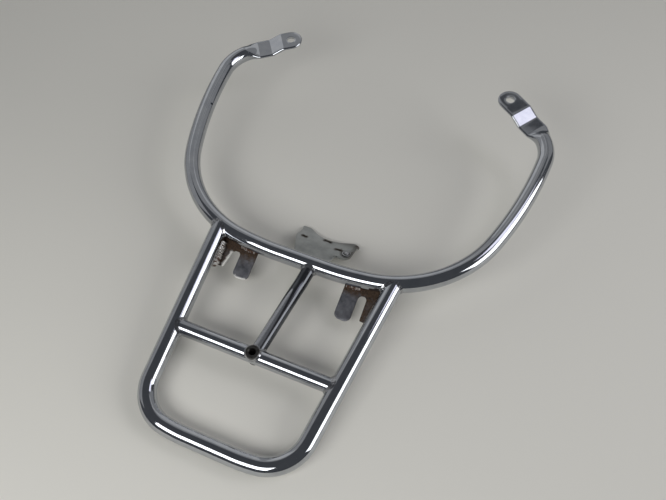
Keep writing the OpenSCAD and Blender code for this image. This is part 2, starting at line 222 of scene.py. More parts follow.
def grid_faces(rows, cols, ring=False):
    """Quads between rows of points, each row a closed loop; in a ring the last row meets the first."""
    i, j = np.meshgrid(np.arange(rows if ring else rows - 1), np.arange(cols), indexing="ij")
    n = (i + 1) % rows
    k = (j + 1) % cols
    return np.stack([i * cols + j, i * cols + k, n * cols + k, n * cols + j], -1).reshape(-1, 4).tolist()


def unit(vectors):
    return vectors / np.linalg.norm(vectors, axis=-1)[..., None]


def frames(line):
    """Tangent, level side vector and upper vector along a line of points."""
    tangent = unit(np.gradient(line, axis=0))
    side = unit(np.stack([-tangent[:, 1], tangent[:, 0], 0 * tangent[:, 0]], 1))
    return tangent, side, np.cross(tangent, side)


TURN = 2 * np.pi * np.arange(LOOP) / LOOP
RIM = 5
RAIL_LEGS = [(MID_RUN, 0.0), arc(EASE_R, EASE_A), arc(SIDE_R, SIDE_A), arc(ARM_R, ARM_A), arc(TIP_R, TIP_A)]


def flat_section(width, thick):
    """Section of a pressed tube: u across and w up, flat faces joined by half-round edges.
    Loop points -RIM to RIM lie on one edge, and the faces are spread evenly between the edges."""
    reach = (width - thick) / 2
    i = np.arange(LOOP)
    half = LOOP // 2
    k = (i + half) % LOOP - half
    on_right = np.abs(k) <= RIM
    on_left = np.abs(k) >= half - RIM
    across = np.where(k > 0, k, -k)
    u = reach * (1 - 2 * (across - RIM) / (half - 2 * RIM))
    w = np.sign(k) * thick / 2.0
    edge = np.pi / 2 * k / RIM
    u = np.where(on_right, reach + thick / 2 * np.cos(edge), u)
    w = np.where(on_right, thick / 2 * np.sin(edge), w)
    far = np.pi / 2 * (i - half) / RIM
    u = np.where(on_left, -reach - thick / 2 * np.cos(far), u)
    w = np.where(on_left, -thick / 2 * np.sin(far), w)
    return u, w


def tab_tip(root, ahead, last):
    """The round end of a tab that sets out ahead from its root, as points and faces: a half-round rim
    round an inset line, and rings that shrink to the hole. It joins the loop of points from last on."""
    half = LOOP // 2
    reach = (TAB_W - TAB_T) / 2
    side_s = np.linspace(TIP_START, HOLE_RUN, 7)[1:]
    bow = np.linspace(-np.pi / 2, np.pi / 2, 29)[1:-1]
    inset = np.concatenate([
        np.c_[side_s, np.full(len(side_s), -reach)],
        np.c_[HOLE_RUN + reach * np.cos(bow), reach * np.sin(bow)],
        np.c_[side_s[::-1], np.full(len(side_s), reach)],
    ])
    normal = np.concatenate([
        np.tile([0.0, -1.0], (len(side_s), 1)), np.c_[np.cos(bow), np.sin(bow)],
        np.tile([0.0, 1.0], (len(side_s), 1)),
    ])
    across = np.array([-ahead[1], ahead[0]])

    def place(su, w):
        flat_xy = root + su[..., :1] * ahead + su[..., 1:] * across
        return np.concatenate([flat_xy, STEP_H + np.broadcast_to(w, su.shape[:-1])[..., None]], -1)

    turn = np.pi * np.arange(2 * RIM + 1) / (2 * RIM)
    rim = place(inset[:, None] + normal[:, None] * (TAB_T / 2 * np.sin(turn))[None, :, None],
                (TAB_T / 2 * np.cos(turn))[None, :])
    first_rim = last + LOOP
    count = len(inset)
    rim_at = first_rim + np.arange(count * (2 * RIM + 1)).reshape(count, 2 * RIM + 1)
    k = np.arange(2 * RIM + 1)
    columns = np.concatenate([[last + half - RIM + k], rim_at, [last + (RIM - k) % LOOP]])
    faces = []
    for a, b in zip(columns[:-1], columns[1:]):
        faces += np.stack([a[:-1], a[1:], b[1:], b[:-1]], 1).tolist()

    top_index = np.arange(RIM, half - RIM + 1)
    u_flat = flat_section(TAB_W, TAB_T)[0][top_index]
    outer = np.concatenate([np.c_[np.full(len(top_index), TIP_START), u_flat], inset])
    angle = np.arctan2(outer[:, 1], outer[:, 0] - HOLE_RUN)
    spokes = np.stack([np.cos(angle), np.sin(angle)], 1)
    centre = np.array([HOLE_RUN, 0.0])
    worn_edge = centre + (TAB_HOLE_R + HOLE_WORN) * spokes
    rings = [(outer * (1 - share) + worn_edge * share, TAB_T / 2) for share in (0.35, 0.7)]
    rings.append((worn_edge, TAB_T / 2))
    rings.append((centre + (TAB_HOLE_R + HOLE_LIP) * spokes, TAB_T / 2 - HOLE_LIP))
    rings.append((centre + TAB_HOLE_R * spokes, TAB_T / 2 - HOLE_WORN))
    rings += [(ring, -w) for ring, w in reversed(rings)]
    loops = [np.concatenate([last + top_index, rim_at[:, 0]])]
    at = first_rim + rim_at.size
    blocks = [rim.reshape(-1, 3)]
    for ring, w in rings:
        blocks.append(place(ring, np.full(len(ring), w)))
        loops.append(at + np.arange(len(ring)))
        at += len(ring)
    loops.append(np.concatenate([last + (-top_index) % LOOP, rim_at[:, -1]]))
    for a, b in zip(loops[:-1], loops[1:]):
        faces += np.stack([a, np.roll(a, -1), np.roll(b, -1), b], 1).tolist()
    return np.concatenate(blocks), faces


def rail_half(step_back, lead, flatten):
    """Half of the grab rail from its middle outward, as points and faces; the first loop is the middle.
    The tube starts to flatten a lead before the end of its tight bend and is flat after flatten.
    The step rises by its slope times the integral of 1 / (1 + e^(-s / fold)) between its two folds."""
    plan = plan_path((0.0, MID_Y), RAIL_LEGS)
    end_heading = math.radians(sum(turn for _, turn in RAIL_LEGS))
    step_end = HOLE_RUN - step_back
    step_start = step_end - STEP_RUN
    near_fold = np.linspace(-FOLD_HALF, FOLD_HALF, 7)
    tab = np.unique(np.concatenate([
        np.arange(TAB_STEP, TIP_START, TAB_STEP), [TIP_START], step_start + near_fold, step_end + near_fold]))
    tab = tab[(tab > 0) & (tab <= TIP_START)]
    ahead = np.array([math.cos(end_heading), math.sin(end_heading)])
    tab_plan = plan[-1] + tab[:, None] * ahead
    rise = STEP_H / STEP_RUN * STEP_FOLD * (
        np.logaddexp(0, (tab - step_start) / STEP_FOLD) - np.logaddexp(0, (tab - step_end) / STEP_FOLD))
    line = np.concatenate([np.c_[plan, 0 * plan[:, 0]], np.c_[tab_plan, rise]])
    _, side, up = frames(line)
    steps = np.linalg.norm(np.diff(plan, axis=0), axis=1)
    run = np.concatenate([np.concatenate([[0], np.cumsum(steps)]) - steps.sum(), tab])
    share = np.clip((run + lead) / flatten, 0, 1)
    flat = (0.6 * share + 0.4 * share ** 2 * (3 - 2 * share))[:, None]
    u_flat, w_flat = flat_section(TAB_W, TAB_T)
    u = (1 - flat) * TUBE_R * np.cos(TURN) + flat * u_flat
    w = (1 - flat) * TUBE_R * np.sin(TURN) + flat * w_flat
    points = line[:, None] + u[..., None] * side[:, None] + w[..., None] * up[:, None]
    verts = points.reshape(-1, 3)
    tip_verts, tip_faces = tab_tip(plan[-1], ahead, len(verts) - LOOP)
    return np.concatenate([verts, tip_verts]), np.array(grid_faces(len(line), LOOP) + tip_faces)


# Chrome that has dulled a little: mirror bright, with a faint haze in cloudy patches
chrome = new_material("polished_chrome_plate", Metallic=1.0, Roughness=0.06)
feed(chrome, "Base Color", ramp(chrome, noise_field(chrome, 90.0, 3.0), 0.35, 0.75, "#b2b5ba", "#bfc1c4"))
rough = add(chrome, "MapRange", To_Min=0.035, To_Max=0.10)
link(chrome, noise_field(chrome, 260.0, 5.0), rough.inputs["Value"])
feed(chrome, "Roughness", rough.outputs["Result"])
bump(chrome, noise_field(chrome, 90.0, 2.0), 0.00001)

right_verts, right_faces = rail_half(step_back=17.0, lead=13.0, flatten=12.0)
left_verts, left_faces = rail_half(step_back=10.0, lead=10.0, flatten=15.0)
left_faces = np.where(left_faces < LOOP, left_faces, left_faces + len(right_verts) - LOOP)
rail_verts = np.concatenate([right_verts, left_verts[LOOP:] * [-1, 1, 1]])
rail = piece("grab_rail_tube", rail_verts, np.concatenate([right_faces, left_faces]), "chrome_tube", chrome,
             replaces="grab_rail", sharp=30.0)

# The drain hole drilled into the inner upper side of the left arm, for the plating bath
DRAIN_R = 1.3
DRAIN_SHARE = 0.51
DRAIN_FACE = 50.0
DRAIN_FLOOR = 3.5
arm_path = plan_path((0.0, MID_Y), RAIL_LEGS[:3] + [arc(ARM_R, ARM_A * DRAIN_SHARE)])
drill_way = np.array([math.sin(math.radians(DRAIN_FACE)), 0.0, math.cos(math.radians(DRAIN_FACE))])
drill_side = np.array([0.0, 1.0, 0.0])
drill_up = np.cross(drill_way, drill_side)
drill_ring = DRAIN_R * (np.cos(TURN)[:, None] * drill_side + np.sin(TURN)[:, None] * drill_up)
drill_at = np.array([-arm_path[-1, 0], arm_path[-1, 1], 0.0])
drill_verts = np.concatenate([drill_at + DRAIN_FLOOR * drill_way + drill_ring,
                              drill_at + 2 * TUBE_R * drill_way + drill_ring])
drill = solid("drill", drill_verts, grid_faces(2, LOOP) + [
    list(range(LOOP - 1, -1, -1)), list(range(LOOP, 2 * LOOP))])
drain_cut = rail.modifiers.new("drain", "BOOLEAN")
drain_cut.operation = "DIFFERENCE"
drain_cut.solver = "EXACT"
drain_cut.object = drill
drilled = bpy.data.meshes.new_from_object(rail.evaluated_get(bpy.context.evaluated_depsgraph_get()))
rail.modifiers.clear()
rail.data = drilled
bpy.data.objects.remove(drill)

# Carrier hoop
# A second chromed tube bent into a U: two rails that lean together towards the rear bar. Its open ends
# are notched to sit on the grab rail.

HOOP_LEN = 191.4
RAIL_TAPER = 5.34
CORNER_R = 36.0
CROWN_R = 150.0
CROWN_A = 8.0
RAIL_HEAD = 90.0 - RAIL_TAPER
# The rail's line stops this far short of the grab rail's axis, and its saddle makes up the rest
RAIL_SHORT = 12.0

crown_rise = CROWN_R * (1 - math.cos(math.radians(CROWN_A)))
corner_rise = CORNER_R * (math.cos(math.radians(CROWN_A)) - math.cos(math.radians(RAIL_HEAD)))
RAIL_LEN = (HOOP_LEN - crown_rise - corner_rise) / math.sin(math.radians(RAIL_HEAD))
REAR_HALF = (HOOP_HALF - RAIL_LEN * math.cos(math.radians(RAIL_HEAD))
             - CROWN_R * math.sin(math.radians(CROWN_A))
             - CORNER_R * (math.sin(math.radians(RAIL_HEAD)) - math.sin(math.radians(CROWN_A))))
REAR_Y = FRONT_RUN - HOOP_LEN
RAIL_AHEAD = np.array([math.cos(math.radians(RAIL_HEAD)), math.sin(math.radians(RAIL_HEAD)), 0.0])
RAIL_LEFT = np.array([-RAIL_AHEAD[1], RAIL_AHEAD[0], 0.0])


def closed_grid(points, first_end, last_end):
    """Points and faces of a grid of closed loops, with a fan to one point over each end."""
    rows, cols = points.shape[:2]
    faces = grid_faces(rows, cols)
    j = np.arange(cols)
    k = (j + 1) % cols
    last = (rows - 1) * cols
    faces += np.stack([k, j, np.full(cols, rows * cols)], 1).tolist()
    faces += np.stack([last + j, last + k, np.full(cols, rows * cols + 1)], 1).tolist()
    return np.concatenate([points.reshape(-1, 3), [first_end], [last_end]]), faces


def tube(line, radius, saddle_start, saddle_end):
    """A tube along a line, its ends closed. Each saddle gives how far, for an offset (u, w) from the
    axis, the tube's wall runs past (or short of) its first or last point."""
    tangent, side, up = frames(line)
    u = radius * np.cos(TURN)
    w = radius * np.sin(TURN)
    points = line[:, None] + u[None, :, None] * side[:, None] + w[None, :, None] * up[:, None]
    points[-1] += saddle_end(u, w)[:, None] * tangent[-1]
    points[0] -= saddle_start(u, w)[:, None] * tangent[0]
    return closed_grid(points, points[0].mean(0), points[-1].mean(0))


hoop_legs = [(REAR_HALF, 0.0), arc(CROWN_R, CROWN_A), arc(CORNER_R, RAIL_HEAD - CROWN_A)]
hoop_plan = plan_path((0.0, REAR_Y), hoop_legs + [(RAIL_LEN - RAIL_SHORT, 0.0)])
hoop_side = np.c_[hoop_plan, 0 * hoop_plan[:, 0]]
hoop_line = np.concatenate([hoop_side[:0:-1] * [-1, 1, 1], hoop_side])


def hoop_saddle(u, w):
    """Distance along the rail's axis from its last point to the grab rail's skin, at each offset.
    The skin lies at SIDE_R + sqrt(r^2 - w^2) from the side bend's centre."""
    base = hoop_plan[-1] + u[:, None] * RAIL_LEFT[:2] - [SIDE_CX, SIDE_CY]
    reach = SIDE_R + np.sqrt(np.clip(TUBE_R ** 2 - w ** 2, 0, None))
    along = base @ RAIL_AHEAD[:2]
    return -along - np.sqrt(np.clip(along ** 2 - (base ** 2).sum(1) + reach ** 2, 0, None))


hoop_verts, hoop_faces = tube(hoop_line, TUBE_R, lambda u, w: hoop_saddle(-u, w), hoop_saddle)
# The rear left corner has a small dent in its upper side
DENT_AT = np.array([-61.4, -61.7, 6.0])
DENT_DEPTH = 0.4
DENT_RUN = 3.0
DENT_WAY = np.array([0.35, 0.35, -0.87])
dent = DENT_DEPTH * np.exp(-((hoop_verts - DENT_AT) ** 2).sum(1) / DENT_RUN ** 2)
hoop_verts = hoop_verts + dent[:, None] * DENT_WAY
piece("carrier_hoop_tube", hoop_verts, hoop_faces, "chrome_tube", chrome, replaces="carrier_hoop")

# Crossbar
# A slightly thinner chromed tube between the rails, notched at both ends and bored for the bush, so
# that its two halves are joined only by thin strips of wall in front of the bush and behind it.

CROSSBAR_R = 7.0
CROSSBAR_HALF = HOOP_HALF - FRONT_RUN * math.tan(math.radians(RAIL_TAPER))
BUSH_R = 6.0


def rail_saddle(u, w):
    """Distance from the crossbar's end point to the skin of the leaning rail, at each offset."""
    lean = math.radians(RAIL_TAPER)
    return -np.sqrt(TUBE_R ** 2 - w ** 2) / math.cos(lean) + u * math.tan(lean)


def joined(shells):
    """Several closed shells of points and faces as one."""
    verts, faces, first = [], [], 0
    for shell_verts, shell_faces in shells:
        verts.append(shell_verts)
        faces += [[i + first for i in face] for face in shell_faces]
        first += len(shell_verts)
    return np.concatenate(verts), faces


bar_x = np.linspace(BUSH_R, CROSSBAR_HALF - TUBE_R, 60)
bar_verts, bar_faces = tube(
    np.c_[bar_x, 0 * bar_x, 0 * bar_x], CROSSBAR_R,
    lambda u, w: BUSH_R - np.sqrt(np.clip(BUSH_R ** 2 - u ** 2, 0, None)),
    lambda u, w: rail_saddle(u, w) + TUBE_R,
)
# The middle of the end against the bush lies just off it
bar_verts[-2] = [BUSH_R + 0.2, 0, 0]
piece("crossbar_tube", *joined([(bar_verts, bar_faces), (bar_verts * [-1, 1, 1], bar_faces)]),
      "chrome_tube", chrome, replaces="crossbar")

# Centre strut
# The thinnest chromed tube, welded a little aslant from the crossbar to the middle of the grab rail,
# and knocked down a trifle towards its front end.

STRUT_R = 6.25
STRUT_REAR_X = 0.6
STRUT_FRONT_X = 10.8
SAG = 0.9
SAG_Y = 78.0
SAG_RUN = 9.0
# Length, half width, sideways offset and lowest height of the pale painted reflection on the strut
REFLECTION_LEN = 68.0
REFLECTION_HALF = 3.6
REFLECTION_LEFT = 1.6
REFLECTION_LOW = -2.0

slant = math.atan((STRUT_FRONT_X - STRUT_REAR_X) / MID_Y)
strut_y = np.linspace(CROSSBAR_R, MID_Y - TUBE_R, 70)
strut_x = STRUT_REAR_X + strut_y * math.tan(slant)
strut_line = np.c_[strut_x, strut_y, -SAG * np.exp(-((strut_y - SAG_Y) / SAG_RUN) ** 2)]


def strut_rear(u, w):
    """How far the wall runs back to the skin of the crossbar or of the bush."""
    x = strut_x[0] - u * math.cos(slant)
    skin = np.maximum(np.sqrt(CROSSBAR_R ** 2 - w ** 2), np.sqrt(np.clip(BUSH_R ** 2 - x ** 2, 0, None)))
    return (CROSSBAR_R + u * math.sin(slant) - skin) / math.cos(slant)


def strut_front(u, w):
    """How far the wall runs ahead to the skin of the grab rail's straight middle."""
    return (TUBE_R - np.sqrt(TUBE_R ** 2 - w ** 2) - u * math.sin(slant)) / math.cos(slant)


# Dull chrome with painted reflection: a pale lens of painted reflection on the upper side that tapers to
# the knock, and a dark base colour over the rest that stands for the strut's dark reflection
reflection_chrome = new_material("dull_chrome_painted_reflection", Metallic=0.9, Roughness=0.3)
painted_reflection = stored_field(reflection_chrome, "painted_reflection")
feed(reflection_chrome, "Base Color", ramp(reflection_chrome, painted_reflection, 0.35, 0.6, "#54565a", "#b4b6ba"))
feed(reflection_chrome, "Roughness", ramp(reflection_chrome, painted_reflection, 0.3, 0.7, "#6c6c6c", "#8c8c8c"))
strut_verts, strut_faces = tube(strut_line, STRUT_R, strut_rear, strut_front)
strut = piece("centre_strut_tube", strut_verts, strut_faces, "chrome_tube", reflection_chrome, replaces="centre_strut")
# The pale painted reflection is a long half ellipse on the upper side, left of the middle, fading out past
# its edge
patch_x = strut_verts[:, 0] - STRUT_REAR_X - strut_verts[:, 1] * math.tan(slant) + REFLECTION_LEFT
patch_w = REFLECTION_HALF * np.sqrt(np.clip(1 - (strut_verts[:, 1] / REFLECTION_LEN) ** 2, 0.001, 1))
set_field(strut, "painted_reflection", np.where(strut_verts[:, 2] > REFLECTION_LOW, 1.2 - 0.7 * np.abs(patch_x) / patch_w, 0))

# Threaded bush
# A plain turned steel bush that stands through the crossbar, its edges chamfered and an M6 thread cut
# through it; dull, with near black painted shade down the thread.

BUSH_TOP = 9.5
BUSH_BOTTOM = -8.0
THREAD_R = 3.0
THREAD_DEPTH = 0.45
PITCH = 1.0
CHAMFER = 0.6
BORE_SHADE_RUN = 0.5

thread_z = np.arange(BUSH_TOP - CHAMFER, BUSH_BOTTOM + CHAMFER, -PITCH / 10)
bush_z = np.concatenate([
    [BUSH_BOTTOM, BUSH_BOTTOM + CHAMFER / 2, BUSH_TOP - CHAMFER / 2, BUSH_TOP, BUSH_TOP],
    thread_z, [BUSH_BOTTOM]])
bush_r = np.concatenate([
    [BUSH_R - CHAMFER / 2, BUSH_R, BUSH_R, BUSH_R - CHAMFER / 2, THREAD_R + CHAMFER],
    np.full(len(thread_z), THREAD_R), [THREAD_R + CHAMFER]])
# The thread fades in over one pitch from each end
thread_share = np.zeros(len(bush_z))
thread_share[5:-1] = np.clip(
    np.minimum(BUSH_TOP - CHAMFER - thread_z, thread_z - BUSH_BOTTOM - CHAMFER) / PITCH, 0, 1)
# The thread's height is a zigzag of z / PITCH + angle / 2 pi, so its crest climbs one pitch per turn
wave = np.abs(2 * ((bush_z[:, None] / PITCH + TURN / (2 * np.pi)) % 1) - 1)
bush_face = bush_r[:, None] - THREAD_DEPTH * thread_share[:, None] * wave


def spun(radius, z):
    """Points of a turned shape: columns of radii and heights, each row swept round the axis."""
    x = radius * np.cos(TURN)
    return np.stack([x, radius * np.sin(TURN), np.broadcast_to(z, x.shape)], -1)


bush_verts = spun(bush_face, bush_z[:, None]).reshape(-1, 3)

# Turned steel gone dull: grey-brown with soft smears, and near black painted shade down the thread
dull_steel = new_material("dull_turned_steel", Metallic=0.85, Roughness=0.42)
smear = ramp(dull_steel, noise_field(dull_steel, 500.0), 0.3, 0.7, "#353432", "#5e5d5b")
feed(dull_steel, "Base Color", mix(dull_steel, stored_field(dull_steel, "bore_shade"), smear, "#151311"))
bush = piece("bush_threaded", bush_verts, grid_faces(len(bush_z), LOOP, ring=True), "dull_steel",
             dull_steel, replaces="threaded_bush", sharp=30.0)
# Painted shade: the thread's bore goes near black, fading out just outside it
from_bore = np.hypot(bush_verts[:, 0], bush_verts[:, 1]) - THREAD_R
set_field(bush, "bore_shade", 1 - from_bore / BORE_SHADE_RUN)

# Slotted plates
# Two mirrored steel plates 3 mm thick, cut with an open slot and welded under the grab rail and the
# rails, sloping down to the rear. They were never polished: rust has crept in from the welds.

PLATE_T = 3.0
PLATE_IN = 44.5
FINGER_W = 15.5
SLOT_W = 8.0
SLOT_BACK = 17.5
FINGER_BACK = 43.5
LEG_BACK = 39.0
PLATE_FRONT = 6.0
PLATE_SLOPE = 15.0
PLATE_TOUCH = 12.0
PLATE_SIDE = 5.0
FINGER_R = 5.5
SLOT_END_R = SLOT_W / 2 - 0.4
EDGE_R = 0.4
UNEVEN_H = 0.1
UNEVEN_SIZE = 9.0
RUB_HIGHLIGHT_RUN = 0.45
PLATE_Y = FRONT_RUN - PLATE_TOUCH
PLATE_OUT = HOOP_HALF - PLATE_SIDE


def outline(corners, step=1.0):
    """A closed line through corners (x, y, radius), counter-clockwise, its corners rounded."""
    corners = np.asarray(corners, float)
    p = corners[:, :2]
    before = unit(np.roll(p, 1, 0) - p)
    after = unit(np.roll(p, -1, 0) - p)
    half = np.arccos(np.clip((before * after).sum(1), -1, 1)) / 2
    line = []
    for at, a, b, h, r in zip(p, before, after, half, corners[:, 2]):
        reach = r / math.tan(h)
        centre = at + unit(a + b) * r / math.sin(h)
        start = at + a * reach - centre
        sweep = math.pi - 2 * h
        turn_sign = 1.0 if a[0] * b[1] - a[1] * b[0] < 0 else -1.0
        t = turn_sign * np.linspace(0, sweep, max(2, math.ceil(r * sweep / step) + 1))
        line.append(centre + np.stack([start[0] * np.cos(t) - start[1] * np.sin(t),
                                       start[0] * np.sin(t) + start[1] * np.cos(t)], 1))
    line = np.concatenate(line)
    ends = np.roll(line, -1, 0)
    filled = []
    for a, b in zip(line, ends):
        n = max(1, math.ceil(np.linalg.norm(b - a) / step))
        filled.append(a + (b - a) * np.arange(n)[:, None] / n)
    return np.concatenate(filled)


def inside(points, loop):
    """Which points lie inside a closed line, by the number of its edges to their right."""
    a = loop[None]
    b = np.roll(loop, -1, 0)[None]
    x, y = points[:, None, 0], points[:, None, 1]
    spans = (a[..., 1] > y) != (b[..., 1] > y)
    rise = np.where(spans, b[..., 1] - a[..., 1], 1)
    cross = a[..., 0] + (y - a[..., 1]) * (b[..., 0] - a[..., 0]) / rise
    return (spans & (x < cross)).sum(1) % 2 == 1


def within(points, loops):
    """Which points lie inside the first line and outside the others."""
    found = inside(points, loops[0])
    for hole in loops[1:]:
        found &= ~inside(points, hole)
    return found


def fill(loops, grid):
    """Fills the first line, less the others, with triangles over a grid of points.
    Gives the points, those of the lines first, the triangles and the edges along the lines."""
    rim = np.concatenate(loops)
    low, high = rim.min(0), rim.max(0)
    gx, gy = np.meshgrid(np.arange(low[0], high[0], grid), np.arange(low[1], high[1], grid))
    free = np.stack([gx.ravel() + grid / 2 * (np.arange(gx.size) // gx.shape[1] % 2), gy.ravel()], 1)
    free = free[within(free, loops)]
    near = np.sqrt(((free[:, None] - rim[None]) ** 2).sum(-1)).min(1)
    flat = np.concatenate([rim, free[near > 0.7 * grid]])
    edges = []
    first = 0
    for loop in loops:
        i = first + np.arange(len(loop))
        edges += np.stack([i, np.roll(i, -1)], 1).tolist()
        first += len(loop)
    found = delaunay_2d_cdt([Vector(p) for p in flat.tolist()], edges, [], 0, 1e-5)
    source = np.array([ids[0] for ids in found[3]])
    top = source[np.array(found[2])]
    return flat, top[within(flat[top].mean(1), loops)].tolist(), np.array(edges)


def sheet(loops, thick, grid, shape):
    """A piece of sheet from its outer line (counter-clockwise) and its holes (clockwise), as points and
    faces. Its edges are rounded by EDGE_R, and shape(xy, depth) puts every point in place."""
    inset, normals = [], []
    for loop in loops:
        way = unit(np.roll(loop, -1, 0) - np.roll(loop, 1, 0))
        normals.append(np.stack([way[:, 1], -way[:, 0]], 1))
        inset.append(loop - EDGE_R * normals[-1])
    rim = np.concatenate(inset)
    normal = np.concatenate(normals)
    flat, top, edge = fill(inset, grid)
    count = len(flat)
    turn = np.linspace(0, math.pi / 2, 4)
    out = np.concatenate([np.sin(turn), np.sin(turn[::-1])])
    depth = np.concatenate([1 - np.cos(turn), thick / EDGE_R - (1 - np.cos(turn[::-1]))]) * EDGE_R
    blocks = [shape(flat, np.zeros(count)), shape(flat, np.full(count, thick))]
    for o, d in zip(out[1:-1], depth[1:-1]):
        blocks.append(shape(rim + normal * EDGE_R * o, np.full(len(rim), d)))
    rings = [np.arange(len(rim))]
    rings += [2 * count + n * len(rim) + np.arange(len(rim)) for n in range(len(out) - 2)]
    rings.append(count + np.arange(len(rim)))
    faces = top + [[i + count for i in reversed(face)] for face in top]
    for a, b in zip(rings[:-1], rings[1:]):
        faces += np.stack([a[edge[:, 0]], b[edge[:, 0]], b[edge[:, 1]], a[edge[:, 1]]], 1).tolist()
    return np.concatenate(blocks), faces


def ripple(points, size, seed):
    """Smooth random heights from -1 to 1: a sum of sine waves in random directions about size apart."""
    draw = np.random.default_rng(seed)
    total = np.zeros(len(points))
    for _ in range(12):
        way = draw.normal(size=points.shape[1])
        way *= draw.uniform(0.6, 1.6) * 2 * math.pi / (size * np.linalg.norm(way))
        total += np.sin(points @ way + draw.uniform(0, 2 * math.pi))
    return total / 6


def under_tubes(points):
    """Lowers points that would stand inside the grab rail or a hoop rail to just below its skin."""
    x = np.abs(points[:, 0])
    y = points[:, 1]
    side = np.abs(np.hypot(x - SIDE_CX, y - SIDE_CY) - SIDE_R)
    ease = np.abs(np.hypot(x - MID_RUN, y - MID_Y - EASE_R) - EASE_R)
    gap = np.where(x > SIDE_CX + SIDE_R * math.sin(math.radians(EASE_A)), side, ease)
    gap = np.where(x < MID_RUN, np.abs(y - MID_Y), gap)
    lean = math.radians(RAIL_TAPER)
    rail = np.abs((x - HOOP_HALF) * math.cos(lean) - (y - FRONT_RUN) * math.sin(lean))
    rail = np.where(y < FRONT_RUN, rail, TUBE_R)
    skin = -np.sqrt(np.clip(TUBE_R ** 2 - np.minimum(gap, rail) ** 2, 0, None)) - 0.03
    touched = np.minimum(gap, rail) < TUBE_R
    points[:, 2] = np.where(touched & (points[:, 2] < 0), np.minimum(points[:, 2], skin), points[:, 2])
    return points


def plate_v(back):
    """Place along the sloping plate of a line that lies back from the front joints."""
    return (FRONT_RUN - back - PLATE_Y) / math.cos(math.radians(PLATE_SLOPE))


def plate_shape(seed):
    """Tilts a flat plate to its slope, a little uneven, and seats it under the tubes."""
    slope = math.radians(PLATE_SLOPE)

    def shape(xy, depth):
        z = UNEVEN_H * ripple(xy, UNEVEN_SIZE, seed) - depth
        return under_tubes(np.stack([
            xy[:, 0], PLATE_Y + xy[:, 1] * math.cos(slope) - z * math.sin(slope),
            -TUBE_R + xy[:, 1] * math.sin(slope) + z * math.cos(slope)], 1))
    return shape


slot_in = PLATE_IN + FINGER_W
slot_out = slot_in + SLOT_W


def plate_line(finger_back, leg_back, flare):
    """Outline of a plate; the flare widens the slot's mouth on its outer side, as the left one was filed."""
    return outline([
        (PLATE_IN, plate_v(PLATE_FRONT), 1.0), (PLATE_IN, plate_v(finger_back), FINGER_R),
        (slot_in, plate_v(finger_back), FINGER_R), (slot_in, plate_v(SLOT_BACK), SLOT_END_R),
        (slot_out, plate_v(SLOT_BACK), SLOT_END_R), (slot_out + flare, plate_v(leg_back), 0.8),
        (PLATE_OUT, plate_v(leg_back), 2.0), (PLATE_OUT, plate_v(PLATE_FRONT), 1.0),
    ])


def rubbed_edge_highlight(verts, line, shape, finger_back, flare):
    """1 at the points on the rim of the finger's tip and of the leg's side of the slot, fading to 0."""
    at_tip = (line[:, 0] < slot_in - 1.0) & (np.abs(line[:, 1] - plate_v(finger_back)) < 1.2)
    at_leg = (line[:, 0] > slot_out - 0.1) & (line[:, 0] < slot_out + flare + 0.3)
    at_leg &= np.abs(line[:, 1] - plate_v(SLOT_BACK)) > 2.0
    rim = shape(line[at_tip | at_leg], PLATE_T / 2)
    away = np.sqrt(((verts[:, None] - rim[None]) ** 2).sum(-1)).min(1)
    return (PLATE_T / 2 + RUB_HIGHLIGHT_RUN - away) / RUB_HIGHLIGHT_RUN


# Bare plate: blue-grey worn faces, brown rust that thickens towards the welds, bright rubbed edges that
# also carry a painted highlight
rusty_plate = new_material("rusty_steel_plate", Metallic=0.75, Roughness=0.5)
rust_noise = add(rusty_plate, "Math", operation="MULTIPLY_ADD")
link(rusty_plate, noise_field(rusty_plate, 240.0, 8.0, 0.7), rust_noise.inputs[0])
rust_noise.inputs[1].default_value = 0.9
rust_noise.inputs[2].default_value = -0.45
rust_sum = add(rusty_plate, "Math", operation="ADD")
link(rusty_plate, stored_field(rusty_plate, "rust"), rust_sum.inputs[0])
link(rusty_plate, rust_noise.outputs[0], rust_sum.inputs[1])
rust_share = ramp(rusty_plate, rust_sum.outputs[0], 0.30, 0.75, "#000000", "#ffffff")
bare = ramp(rusty_plate, noise_field(rusty_plate, 160.0, 6.0), 0.3, 0.7, "#4c4d52", "#76777c")
brown = ramp(rusty_plate, noise_field(rusty_plate, 700.0, 6.0), 0.3, 0.7, "#221a14", "#54402f")
rusted = mix(rusty_plate, rust_share, bare, brown)
feed(rusty_plate, "Base Color", mix(rusty_plate, stored_field(rusty_plate, "rub_and_highlight"), rusted, "#eeede8"))
feed(rusty_plate, "Metallic", ramp(rusty_plate, rust_sum.outputs[0], 0.3, 0.62, "#c8c8c8", "#000000"))
feed(rusty_plate, "Roughness", ramp(rusty_plate, rust_sum.outputs[0], 0.3, 0.62, "#a0a0a0", "#f0f0f0"))
bump(rusty_plate, noise_field(rusty_plate, 900.0, 8.0, 0.7), 0.0003)

